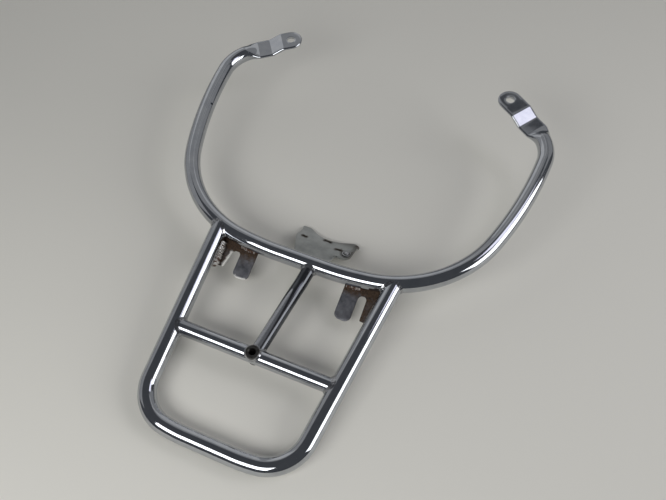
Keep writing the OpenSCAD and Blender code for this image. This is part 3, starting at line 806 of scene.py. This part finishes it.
# The left plate is a little shorter, and only its edges are rubbed bright, with a painted highlight
for side_name, mirror, seed, finger_back, leg_back, flare, rust_run in (
        ("left", -1, 11, FINGER_BACK - 3.0, LEG_BACK - 4.0, 4.0, 22.0),
        ("right", 1, 12, FINGER_BACK, LEG_BACK, 0.5, 16.0)):
    line = plate_line(finger_back, leg_back, flare)
    shape = plate_shape(seed)
    plate_verts, plate_faces = sheet([line], PLATE_T, grid=1.6, shape=shape)
    plate = piece(f"slot_plate_{side_name}_sheet", plate_verts * [mirror, 1, 1], plate_faces,
                  "rusty_plate", rusty_plate, replaces=f"slot_plate_{side_name}", sharp=50.0)
    # Rust is strongest near the grab rail and on the outer leg
    near_rail = 1 - (PLATE_Y - plate_verts[:, 1]) / rust_run
    on_leg = (plate_verts[:, 0] - slot_in) / SLOT_W
    set_field(plate, "rust", np.maximum(near_rail, np.clip(on_leg, 0, 0.7)))
    is_left = mirror < 0
    # Near white on the left plate's edges: rubbed wear with a painted highlight
    set_field(plate, "rub_and_highlight", is_left * rubbed_edge_highlight(plate_verts, line, shape, finger_back, flare))

# Centre bracket
# A tongue of 2 mm steel sheet welded under the grab rail and bent down to the front: two wings with a
# hollow between them, three stamped slots, and a right wing whose edge was rolled up round the rivet.

BRACKET_T = 2.0
BRACKET_SLOPE = 27.5
STAMP_R = 0.95
RIVET_X = 29.5
RIVET_RUN = 38.0
RIVET_R = 2.5
LIP_H = 4.6
LIP_RUN = 6.0
RIDGE_H = 0.9
RIDGE_RUN = 4.0
RIDGE_END = 56.0
WAVE_H = 0.16
WAVE_SIZE = 16.0
WAVE_END = 54.0
DIP_AT = (6.0, 30.5)
DIP_DEPTH = 0.7
DIP_SPREAD = 3.0
DIRT_EDGE = 56.0
DIRT_EDGE_RUN = 5.0
# Painted shade over the lip, in a ring round the rivet and round the slots
LIP_SHADE_FROM = 30.5
LIP_SHADE_RUN = 4.0
RING_SHADE_R = 5.3
RING_SHADE_RUN = 0.8
SLOT_SHADE_RUN = 1.6

# Corners (x, run from the rail's axis, radius): the neck, the right wing, the hollow, the left wing
bracket_line = outline([
    (-11.0, -1.0, 1.0), (21.0, -1.0, 1.0), (17.5, 17.0, 5.0), (21.8, 25.6, 2.5),
    (30.0, 24.2, 9.0), (36.0, 29.5, 6.5), (36.4, 56.8, 4.0), (30.5, 60.2, 5.0),
    (16.0, 52.8, 32.0), (-1.0, 50.4, 26.0), (-17.6, 61.6, 6.0), (-25.8, 61.8, 1.2),
    (-24.0, 51.0, 14.0), (-25.6, 42.0, 9.0), (-19.6, 26.5, 30.0), (-15.6, 14.0, 20.0),
], step=0.9)


def slot_rim(x, v, length=0.0, angle=0.0, radius=STAMP_R, count=24):
    """The clockwise rim of a hole, or of a round-ended slot whose ends' centres lie length apart."""
    turn = np.linspace(0, 2 * math.pi, count, endpoint=False)[::-1]
    ring = radius * np.stack([np.cos(turn), np.sin(turn)], 1)
    ring[:, 0] += np.sign(np.cos(turn)) * length / 2
    a = math.radians(angle)
    return np.array([x, v]) + ring @ np.array([[math.cos(a), math.sin(a)], [-math.sin(a), math.cos(a)]])


slots = [slot_rim(-17.2, 44.0, 3.4, -8.0), slot_rim(5.6, 48.9, 5.6, -4.0), slot_rim(20.0, 40.6, 4.4, 4.0)]
rivet_hole = slot_rim(RIVET_X, RIVET_RUN, radius=RIVET_R, count=32)

lip_edge = np.array([[23.0, 25.4], [27.6, 24.6], [33.3, 26.4], [35.9, 31.3], [36.2, 45.0], [36.4, 50.0]])
lip_line = np.concatenate([
    a + (b - a) * np.linspace(0, 1, 24)[:, None] for a, b in zip(lip_edge[:-1], lip_edge[1:])])
FOLD = np.array([[-26.0, 47.0], [-17.0, 44.0], [0.0, 38.0], [6.0, 33.0], [20.0, 40.6], [34.0, 52.0]])


def on_bracket(x, v, z):
    """Points of the rack at x, a run v down the bracket's slope and a height z over its plane."""
    slope = math.radians(BRACKET_SLOPE)
    return np.stack([x, MID_Y + v * math.cos(slope) + z * math.sin(slope),
                     -TUBE_R - v * math.sin(slope) + z * math.cos(slope)], -1)


def bracket_shape(xy, depth):
    """Height of the sheet over its own plane: a low ridge along the fold that joins the slots, shallow
    waves, one dip, and the lip h (1 - d / run)^1.6 over the distance d from the rolled edge."""
    x, v = xy.T
    d = np.sqrt(((xy[:, None] - lip_line[None]) ** 2).sum(-1)).min(1)
    height = LIP_H * np.clip(1 - d / LIP_RUN, 0, 1) ** 1.6
    ridge = np.abs(v - np.interp(x, FOLD[:, 0], FOLD[:, 1]))
    height += RIDGE_H * np.exp(-ridge / RIDGE_RUN) * np.clip((RIDGE_END - v) / 8.0, 0, 1)
    height += WAVE_H * ripple(xy, WAVE_SIZE, 21) * np.clip((WAVE_END - v) / 10.0, 0, 1)
    height -= DIP_DEPTH * np.exp(-((x - DIP_AT[0]) ** 2 + (v - DIP_AT[1]) ** 2) / DIP_SPREAD)
    return under_tubes(on_bracket(x, v, height - depth))


# Zinc-grey sheet, matte, with darker stains, brown dirt along the front edge, and brown-black painted shade
# round the slots, round the rivet and over the lip
grey_sheet = new_material("matte_grey_steel_sheet", Metallic=0.2, Roughness=0.5)
stain = ramp(grey_sheet, noise_field(grey_sheet, 60.0, 6.0, 0.65), 0.3, 0.72, "#8b8e8b", "#acaeab")
feed(grey_sheet, "Base Color", mix(grey_sheet, stored_field(grey_sheet, "dirt_and_shade"), stain, "#453f38"))
bump(grey_sheet, noise_field(grey_sheet, 400.0, 8.0, 0.6), 0.0002)

bracket_verts, bracket_faces = sheet(
    [bracket_line] + slots + [rivet_hole], BRACKET_T, grid=1.5, shape=bracket_shape)
bracket = piece("centre_bracket_sheet", bracket_verts, bracket_faces, "grey_sheet", grey_sheet,
                replaces="centre_bracket", sharp=50.0)
# Dirt lies along the right wing's front edge; painted shade darkens the lip, a ring round the rivet and the
# rims of the slots
at = np.stack([bracket_verts[:, 0], (bracket_verts[:, 1] - MID_Y) / math.cos(math.radians(BRACKET_SLOPE))], 1)
front_edge = np.exp(-((at[:, 1] - DIRT_EDGE) / DIRT_EDGE_RUN) ** 2) * (at[:, 0] > 2.0)
from_slots = np.sqrt(((at[:, None] - np.concatenate(slots)[None]) ** 2).sum(-1)).min(1)
slot_shade = np.maximum(0, SLOT_SHADE_RUN - from_slots)
from_rivet = np.linalg.norm(at - [RIVET_X, RIVET_RUN], axis=1)
rivet_ring_shade = 0.7 * np.exp(-((from_rivet - RING_SHADE_R) / RING_SHADE_RUN) ** 2)
lip_shade = 0.65 * np.clip((at[:, 0] - LIP_SHADE_FROM) / LIP_SHADE_RUN, 0, 1)
set_field(bracket, "dirt_and_shade", 0.6 * front_edge + lip_shade + rivet_ring_shade + slot_shade)

# Bracket rivet
# A turned steel rivet with a flat washer head, a groove in it and a domed middle with a centre mark.

HEAD_R = 4.5
GROOVE_R = 2.85
GROOVE_RUN = 0.5
MARK_Z = 2.13
# Radius and height over the sheet of the rivet's skin, from its middle mark outward and down the shank
rivet_profile = np.array([
    [0.15, 2.15], [0.5, 2.2], [0.75, 2.42], [1.4, 2.38], [2.0, 2.2], [2.4, 1.9], [2.55, 1.5], [2.7, 0.95],
    [3.1, 0.9], [3.3, 1.1], [3.4, 1.5], [3.6, 1.6], [4.1, 1.55], [4.4, 1.4], [HEAD_R, 1.1], [HEAD_R, 0.2],
    [4.35, 0.0], [2.5, 0.0], [2.5, -1.9], [2.3, -2.0], [0.15, -2.0]])
rivet_local, rivet_faces = closed_grid(
    spun(rivet_profile[:, :1], rivet_profile[:, 1:]), [0, 0, MARK_Z], [0, 0, -BRACKET_T])
rivet_verts = on_bracket(RIVET_X + rivet_local[:, 0], RIVET_RUN + rivet_local[:, 1], rivet_local[:, 2])

# Satin steel, a little brighter than the sheet, with near black painted shade in its groove and round its rim
rivet_steel = new_material("satin_turned_steel", Metallic=0.8, Roughness=0.35)
turned = ramp(rivet_steel, noise_field(rivet_steel, 900.0), 0.3, 0.7, "#9a9b9d", "#d2d3d4")
feed(rivet_steel, "Base Color", mix(rivet_steel, stored_field(rivet_steel, "groove"), turned, "#2a2826"))
rivet = piece("bracket_rivet_head", rivet_verts, rivet_faces, "rivet_steel", rivet_steel,
              replaces="bracket_rivet", sharp=35.0)
# Painted shade: the groove and the head's outer rim go near black
from_axis = np.linalg.norm(rivet_local[:, :2], axis=1)
set_field(rivet, "groove", np.exp(-((from_axis - GROOVE_R) / GROOVE_RUN) ** 2)
          + 0.8 * (from_axis > HEAD_R - 0.05))

# Welds of the tubes
# Small fillets run round each tube joint before plating: fine overlapping scales, chromed over, so they
# shine like the tubes but less sharply.

WELD_LEG = 2.2
BUSH_LEG = 1.7
SINK = 0.45
SCALE_H = 0.13
HOLLOW = 1.2
BLEND_RUN = 0.25


def fillet(joint, axis, outward, normal, main_axis, main_r, leg=WELD_LEG, scales=16, seed=1):
    """A closed ring of weld along the joint line of a branch on a main tube, as points and faces.
    axis runs up the branch, outward and normal leave the branch's and the main tube's skin. Its face is
    joint + leg (1-t)^HOLLOW axis + leg t^HOLLOW along, sunk by the main tube's curvature."""
    count = len(joint)
    along = unit(outward - (outward * normal).sum(1)[:, None] * normal)
    s = np.arange(count)[:, None] / count
    t = np.linspace(0, 1, 9)[None]
    draw = np.random.default_rng(seed)
    sway = sum(a * np.sin(2 * math.pi * n * s + draw.uniform(0, 6))
               for n, a in ((2, 0.06), (5, 0.05), (9, 0.04)))
    scale = (s * scales + 0.35 * t * t + sway) % 1
    size = leg * (1 + sway)
    rise = size * (1 - t) ** HOLLOW
    reach = size * t ** HOLLOW
    bend = 1 - (along * main_axis).sum(1) ** 2
    drop = bend[:, None] * reach ** 2 / (2 * main_r)
    lift = SCALE_H * np.sin(math.pi * t) * (scale - 0.5)
    face = (joint[:, None] + rise[..., None] * axis + reach[..., None] * along[:, None]
            - drop[..., None] * normal[:, None] + lift[..., None] * unit(outward + normal)[:, None])
    toe = face[:, :1] - SINK * outward[:, None]
    heel = face[:, -1:] - SINK * normal[:, None]
    root = joint[:, None] - SINK * (outward + normal)[:, None]
    points = np.concatenate([toe, face, heel, root], 1)
    return points.reshape(-1, 3), grid_faces(count, points.shape[1], ring=True)


# Chrome over weld scales: as bright as the tubes but softer, with a grey cast between the scales
weld_metal = new_material("chromed_weld", Metallic=1.0, Roughness=0.18)
cast = ramp(weld_metal, noise_field(weld_metal, 700.0), 0.35, 0.7, "#8f9092", "#c2c3c6")
feed(weld_metal, "Base Color", cast)
bump(weld_metal, noise_field(weld_metal, 1500.0, 3.0), 0.00008)

WELD_TURN = 2 * np.pi * np.arange(160) / 160
UP = np.array([0.0, 0.0, 1.0])


def circle(radius):
    """Offsets u and w of the points round a tube that its weld follows."""
    return radius * np.cos(WELD_TURN), radius * np.sin(WELD_TURN)


# The rails on the grab rail's side bends
hoop_u, hoop_w = circle(TUBE_R)
hoop_off = hoop_u[:, None] * RAIL_LEFT + hoop_w[:, None] * UP
hoop_end = np.array([*hoop_plan[-1], 0.0])
hoop_joint = hoop_end + hoop_off + hoop_saddle(hoop_u, hoop_w)[:, None] * RAIL_AHEAD
arc_centre = np.array([SIDE_CX, SIDE_CY, 0.0])
flat_away = unit((hoop_joint - arc_centre) * [1, 1, 0])
hoop_normal = unit(hoop_joint - arc_centre - SIDE_R * flat_away)
hoop_weld = fillet(hoop_joint, -RAIL_AHEAD, hoop_off / TUBE_R, hoop_normal,
                   np.stack([-flat_away[:, 1], flat_away[:, 0], 0 * hoop_u], 1), TUBE_R, scales=20, seed=3)

# The crossbar on the rails
bar_u, bar_w = circle(CROSSBAR_R)
bar_end = np.array([CROSSBAR_HALF, 0.0, 0.0])
bar_joint = np.stack([CROSSBAR_HALF + rail_saddle(bar_u, bar_w), bar_u, bar_w], 1)
rail_foot = bar_end + ((bar_joint - bar_end) @ RAIL_AHEAD)[:, None] * RAIL_AHEAD
bar_weld = fillet(bar_joint, np.array([-1.0, 0, 0]), np.stack([0 * bar_u, bar_u, bar_w], 1) / CROSSBAR_R,
                  unit(bar_joint - rail_foot), RAIL_AHEAD, TUBE_R, scales=18, seed=4)

for side_name, mirror in (("left", -1), ("right", 1)):
    for joint_name, (verts, faces) in (("hoop", hoop_weld), ("crossbar", bar_weld)):
        piece(f"weld_{joint_name}_{side_name}_fillet", verts * [mirror, 1, 1], faces,
              "weld_metal", weld_metal, replaces=f"weld_{joint_name}_{side_name}", sharp=60.0)

# The strut on the grab rail
strut_way = np.array([math.sin(slant), math.cos(slant), 0.0])
strut_side = np.array([-math.cos(slant), math.sin(slant), 0.0])
strut_u, strut_w = circle(STRUT_R)
strut_out = (strut_u[:, None] * strut_side + strut_w[:, None] * UP) / STRUT_R
front_joint = strut_line[-1] + STRUT_R * strut_out + strut_front(strut_u, strut_w)[:, None] * strut_way
front_normal = unit((front_joint - [0, MID_Y, 0]) * [0, 1, 1])
front_weld = fillet(front_joint, -strut_way, strut_out, front_normal, np.array([1.0, 0, 0]), TUBE_R, seed=5)
piece("weld_strut_front_fillet", *front_weld, "weld_metal", weld_metal,
      replaces="weld_strut_front", sharp=60.0)

# The bush on the crossbar's top and underside, and the strut on both; where the strut stands higher
# than the crossbar, the bush's weld climbs over it
bx, by = circle(BUSH_R)
on_bar = np.sqrt(CROSSBAR_R ** 2 - by ** 2)
on_strut = np.where(by > 0, np.sqrt(np.clip(STRUT_R ** 2 - (bx - strut_x[0]) ** 2, 0, None)), 0)
blend = 1 / (1 + np.exp(-(on_strut - on_bar) / BLEND_RUN))
bush_joint = np.stack([bx, by, np.maximum(on_bar, on_strut)], 1)
bush_out = np.stack([bx, by, 0 * bx], 1) / BUSH_R
bush_normal = unit((1 - blend)[:, None] * np.stack([0 * bx, by, on_bar], 1) / CROSSBAR_R
                   + blend[:, None] * np.stack([bx - strut_x[0], 0 * bx, on_strut], 1) / STRUT_R)
bush_main = unit((1 - blend)[:, None] * [1.0, 0, 0] + blend[:, None] * [0, 1.0, 0])
top_weld = fillet(bush_joint, UP, bush_out, bush_normal, bush_main, CROSSBAR_R,
                  leg=BUSH_LEG, scales=14, seed=6)
rear_joint = strut_line[0] + STRUT_R * strut_out - strut_rear(strut_u, strut_w)[:, None] * strut_way
rear_normal = unit(rear_joint * [0, 1, 1])
rear_weld = fillet(rear_joint, strut_way, strut_out, rear_normal, np.array([1.0, 0, 0]), CROSSBAR_R,
                   leg=BUSH_LEG, seed=7)
bush_weld = joined([top_weld, (top_weld[0] * [1, 1, -1], top_weld[1]), rear_weld])
piece("weld_bush_fillet", *bush_weld, "weld_metal", weld_metal, replaces="weld_bush", sharp=60.0)

# Rough welds of the plates and the bracket
# Heavy hand-laid beads that were never dressed: rows of silver lumps with rust in the hollows between.

BEAD_LOOP = 40
BEAD_STEP = 0.35
LOW_R = 0.76
LUMP_H = 0.14
ROUGH_H = 0.15
ROUGH_COARSE = 2.2
ROUGH_FINE = 0.9
CREST_FROM = 0.74
CREST_RUN = 0.24
FINGER_WELD_BACK = 5.6
FINGER_WELD_DROP = 7.9
FINGER_WELD_R = 2.1
FINGER_WELD_PITCH = 4.3
BEAD_R = 4.4
BEAD_PITCH = 7.0
BEAD_IN = 0.8
BEAD_DROP = 0.62
NECK_WELD_AHEAD = 5.6
NECK_WELD_DROP = 8.2
NECK_WELD_R = 2.3
NECK_WELD_PITCH = 3.4


def bead(line, radius, pitch, seed):
    """A lumpy bead along a line, as points, faces and how high each point stands (0 to 1).
    Shares of the radius: LOW_R, a lump |sin(pi s / pitch)|^0.6 per pitch, and ripples."""
    step = np.linalg.norm(np.diff(line, axis=0), axis=1)
    s = np.concatenate([[0], np.cumsum(step)])
    even = np.linspace(0, s[-1], math.ceil(s[-1] / BEAD_STEP))
    line = np.stack([np.interp(even, s, line[:, k]) for k in range(3)], 1)
    _, side, top = frames(line)
    turn = 2 * np.pi * np.arange(BEAD_LOOP) / BEAD_LOOP
    draw = np.random.default_rng(seed)
    phase = even / pitch + 0.22 * np.sin(even * 0.9 + draw.uniform(0, 6)) + 0.15 * np.sin(even * 0.37)
    lump = np.abs(np.sin(math.pi * phase)) ** 0.6 * (1 + 0.35 * np.sin(phase * 2.3 + seed))
    end = np.sqrt(np.clip(1 - (1 - np.minimum(np.minimum(even, s[-1] - even) / radius, 1)) ** 2, 0, 1))
    outward = np.cos(turn)[None, :, None] * side[:, None] + np.sin(turn)[None, :, None] * top[:, None]
    grid = (line[:, None] + outward).reshape(-1, 3)
    rough = ripple(grid, ROUGH_COARSE, seed + 1).reshape(len(even), -1)
    rough += 0.5 * ripple(grid, ROUGH_FINE, seed + 2).reshape(len(even), -1)
    height = LOW_R + LUMP_H * lump[:, None] + ROUGH_H * rough
    r = radius * np.maximum(end, 0.05)[:, None] * height
    verts, faces = closed_grid(line[:, None] + r[..., None] * outward, line[0], line[-1])
    crest = np.concatenate([((height - CREST_FROM) / CREST_RUN).ravel(), [0, 0]])
    return verts, faces, crest


# Raw weld: silver where it was brushed, brown rust and grey slag down between the lumps
rough_weld = new_material("rough_rusty_weld", Metallic=0.7, Roughness=0.45)
crest_sum = add(rough_weld, "Math", operation="MULTIPLY_ADD")
link(rough_weld, noise_field(rough_weld, 600.0, 6.0, 0.7), crest_sum.inputs[0])
crest_sum.inputs[1].default_value = 0.8
link(rough_weld, stored_field(rough_weld, "crest"), crest_sum.inputs[2])
feed(rough_weld, "Base Color", ramp(rough_weld, crest_sum.outputs[0], 0.55, 1.0, "#4a2f1e", "#d3d1cd"))
feed(rough_weld, "Metallic", ramp(rough_weld, crest_sum.outputs[0], 0.6, 0.95, "#000000", "#e0e0e0"))
feed(rough_weld, "Roughness", ramp(rough_weld, crest_sum.outputs[0], 0.6, 1.0, "#e0e0e0", "#808080"))
bump(rough_weld, noise_field(rough_weld, 1200.0, 6.0, 0.7), 0.0003)


def rail_y(x):
    """Forward place of the grab rail's centre line at a sideways place between the joints."""
    ease = MID_Y + EASE_R - np.sqrt(EASE_R ** 2 - (x - MID_RUN) ** 2)
    side = SIDE_CY - np.sqrt(np.clip(SIDE_R ** 2 - (x - SIDE_CX) ** 2, 0, None))
    bent = np.where(x < SIDE_CX + SIDE_R * math.sin(math.radians(EASE_A)), ease, side)
    return np.where(x < MID_RUN, MID_Y, bent)


# The left bead is the heavier and the brighter one
for side_name, mirror, seed, lump, shine in (("left", -1, 31, 1.1, 1.25), ("right", 1, 41, 0.86, 0.3)):
    finger_x = np.linspace(PLATE_IN + 1, PLATE_IN + FINGER_W + 2, 20)
    finger_line = np.stack([
        finger_x, rail_y(finger_x) - FINGER_WELD_BACK, np.full(20, -FINGER_WELD_DROP)], 1)
    verts, faces, crest = bead(finger_line, FINGER_WELD_R, FINGER_WELD_PITCH, seed)
    made = piece(f"weld_plate_{side_name}_bead", verts * [mirror, 1, 1], faces, "rough_weld", rough_weld,
                 replaces=f"weld_plate_{side_name}", sharp=60.0)
    set_field(made, "crest", crest * 0.35)
    back = np.linspace(SLOT_BACK - 4.0, LEG_BACK + 2.0, 30)
    bead_line = np.stack([
        HOOP_HALF - back * math.tan(math.radians(RAIL_TAPER)) - TUBE_R * BEAD_IN, FRONT_RUN - back,
        -TUBE_R * BEAD_DROP + plate_v(back) * math.sin(math.radians(PLATE_SLOPE)) / 2], 1)
    verts, faces, crest = bead(bead_line, BEAD_R * lump, BEAD_PITCH, seed + 5)
    made = piece(f"weld_bead_{side_name}_lumps", verts * [mirror, 1, 1], faces, "rough_weld", rough_weld,
                 replaces=f"weld_bead_{side_name}", sharp=60.0)
    # The front half was brushed bright, the rear half is rusty
    toward_front = np.clip((verts[:, 1] - FRONT_RUN + LEG_BACK - 6.0) / 8.0, 0.55, 1)
    set_field(made, "crest", crest * shine * toward_front)

neck_x = np.linspace(-10.0, 20.0, 30)
neck_line = np.stack([neck_x, np.full(30, MID_Y + NECK_WELD_AHEAD), np.full(30, -NECK_WELD_DROP)], 1)
verts, faces, crest = bead(neck_line, NECK_WELD_R, NECK_WELD_PITCH, 51)
made = piece("weld_bracket_bead", verts, faces, "rough_weld", rough_weld,
             replaces="weld_bracket", sharp=60.0)
set_field(made, "crest", crest)

# Room
# The rack lies on a pale painted table top, touching it with the rear bar and the bracket's two corners.

RACK_TILT = 7.3
FLOOR_SIZE = 6.0
FLOOR_TOUCH = (0.0, REAR_Y * MM, -(TUBE_R + 0.1) * MM)

paint = new_material("pale_table_paint", Roughness=0.55, Base_Color=linear("#dedcd4"))
floor_mesh = bpy.data.meshes.new("floor")
floor_corners = FLOOR_SIZE / 2 * np.array([(-1, -1, 0), (1, -1, 0), (1, 1, 0), (-1, 1, 0)])
floor_mesh.from_pydata(floor_corners.tolist(), [], [(0, 1, 2, 3)])
floor = bpy.data.objects.new("floor", floor_mesh)
bpy.context.collection.objects.link(floor)
floor.location = FLOOR_TOUCH
floor.rotation_euler = (-math.radians(RACK_TILT), 0, 0)
floor_mesh.materials.append(paint)

AIM = np.array([0.0, 0.10, 0.0])


def panel(name, azimuth, polar, distance, width, height, radiance, color="#ffffff"):
    """An area light of width by height metres that faces AIM from a distance in metres.
    Its azimuth from +X and its polar angle from straight up are in degrees."""
    a = math.radians(azimuth)
    p = math.radians(polar)
    away = np.array([math.sin(p) * math.cos(a), math.sin(p) * math.sin(a), math.cos(p)])
    data = bpy.data.lights.new(name, "AREA")
    data.shape = "RECTANGLE"
    data.size = width
    data.size_y = height
    data.energy = radiance * math.pi * width * height
    data.color = linear(color)[:3]
    lamp = bpy.data.objects.new(name, data)
    bpy.context.collection.objects.link(lamp)
    lamp.location = AIM + away * distance
    lamp.rotation_euler = (p, 0, a + math.pi / 2)


# The windows draw the white lines on the tubes, the walls fill them with grey, and a lamp lights the
# right tab
panel("window_behind", -101, 46, 1.0, 0.78, 0.40, 5.2)
panel("window_right", 12, 66, 1.9, 1.5, 1.05, 3.2)
panel("wall_left", 165, 68, 2.4, 3.4, 1.9, 0.27)
panel("wall_away", 80, 68, 2.4, 3.0, 1.9, 0.22)
panel("near_wall", 125, 60, 1.05, 0.9, 1.0, 0.24)
panel("near_wall_top", 81, 43, 1.08, 0.42, 0.26, 0.19)
panel("lamp_right", 39, 44, 0.91, 0.30, 0.30, 1.7, "#f2f0ff")

world = bpy.data.worlds.new("room")
world.use_nodes = True
world.node_tree.nodes["Background"].inputs["Color"].default_value = linear("#505256")
world.node_tree.nodes["Background"].inputs["Strength"].default_value = 1.0
bpy.context.scene.world = world

# Camera
# A phone held over the rack's rear, looking down at it.

LENS_PX = 700.0
PHOTO_W = 666.0
SENSOR = 36.0
CAMERA_PITCH = 53.61
CAMERA_YAW = 23.30
CAMERA_TILT = 7.53
CAMERA_AT = (0.1738, -0.1604, 0.5611)


def camera_axes(pitch, yaw, tilt):
    """Rows are the camera's right, down and forward directions in the rack's frame."""
    p, q, t = (math.radians(v) for v in (pitch, yaw, tilt))
    lean = np.array([[1, 0, 0], [0, math.cos(t), -math.sin(t)], [0, math.sin(t), math.cos(t)]])
    spin = np.array([[math.cos(q), math.sin(q), 0], [-math.sin(q), math.cos(q), 0], [0, 0, 1]])
    look = np.array([[1, 0, 0], [0, -math.sin(p), -math.cos(p)], [0, math.cos(p), -math.sin(p)]])
    return look @ spin @ lean


right, down, forward = camera_axes(CAMERA_PITCH, CAMERA_YAW, CAMERA_TILT)
camera_data = bpy.data.cameras.new("camera")
camera_data.sensor_width = SENSOR
camera_data.lens = LENS_PX / PHOTO_W * SENSOR
camera_data.clip_start = 10 * MM
camera = bpy.data.objects.new("camera", camera_data)
bpy.context.collection.objects.link(camera)
turn_matrix = np.eye(4)
turn_matrix[:3, 0] = right
turn_matrix[:3, 1] = -down
turn_matrix[:3, 2] = -forward
turn_matrix[:3, 3] = CAMERA_AT
camera.matrix_world = Matrix(turn_matrix.tolist())
bpy.context.scene.camera = camera
bpy.context.scene.view_settings.view_transform = "Standard"
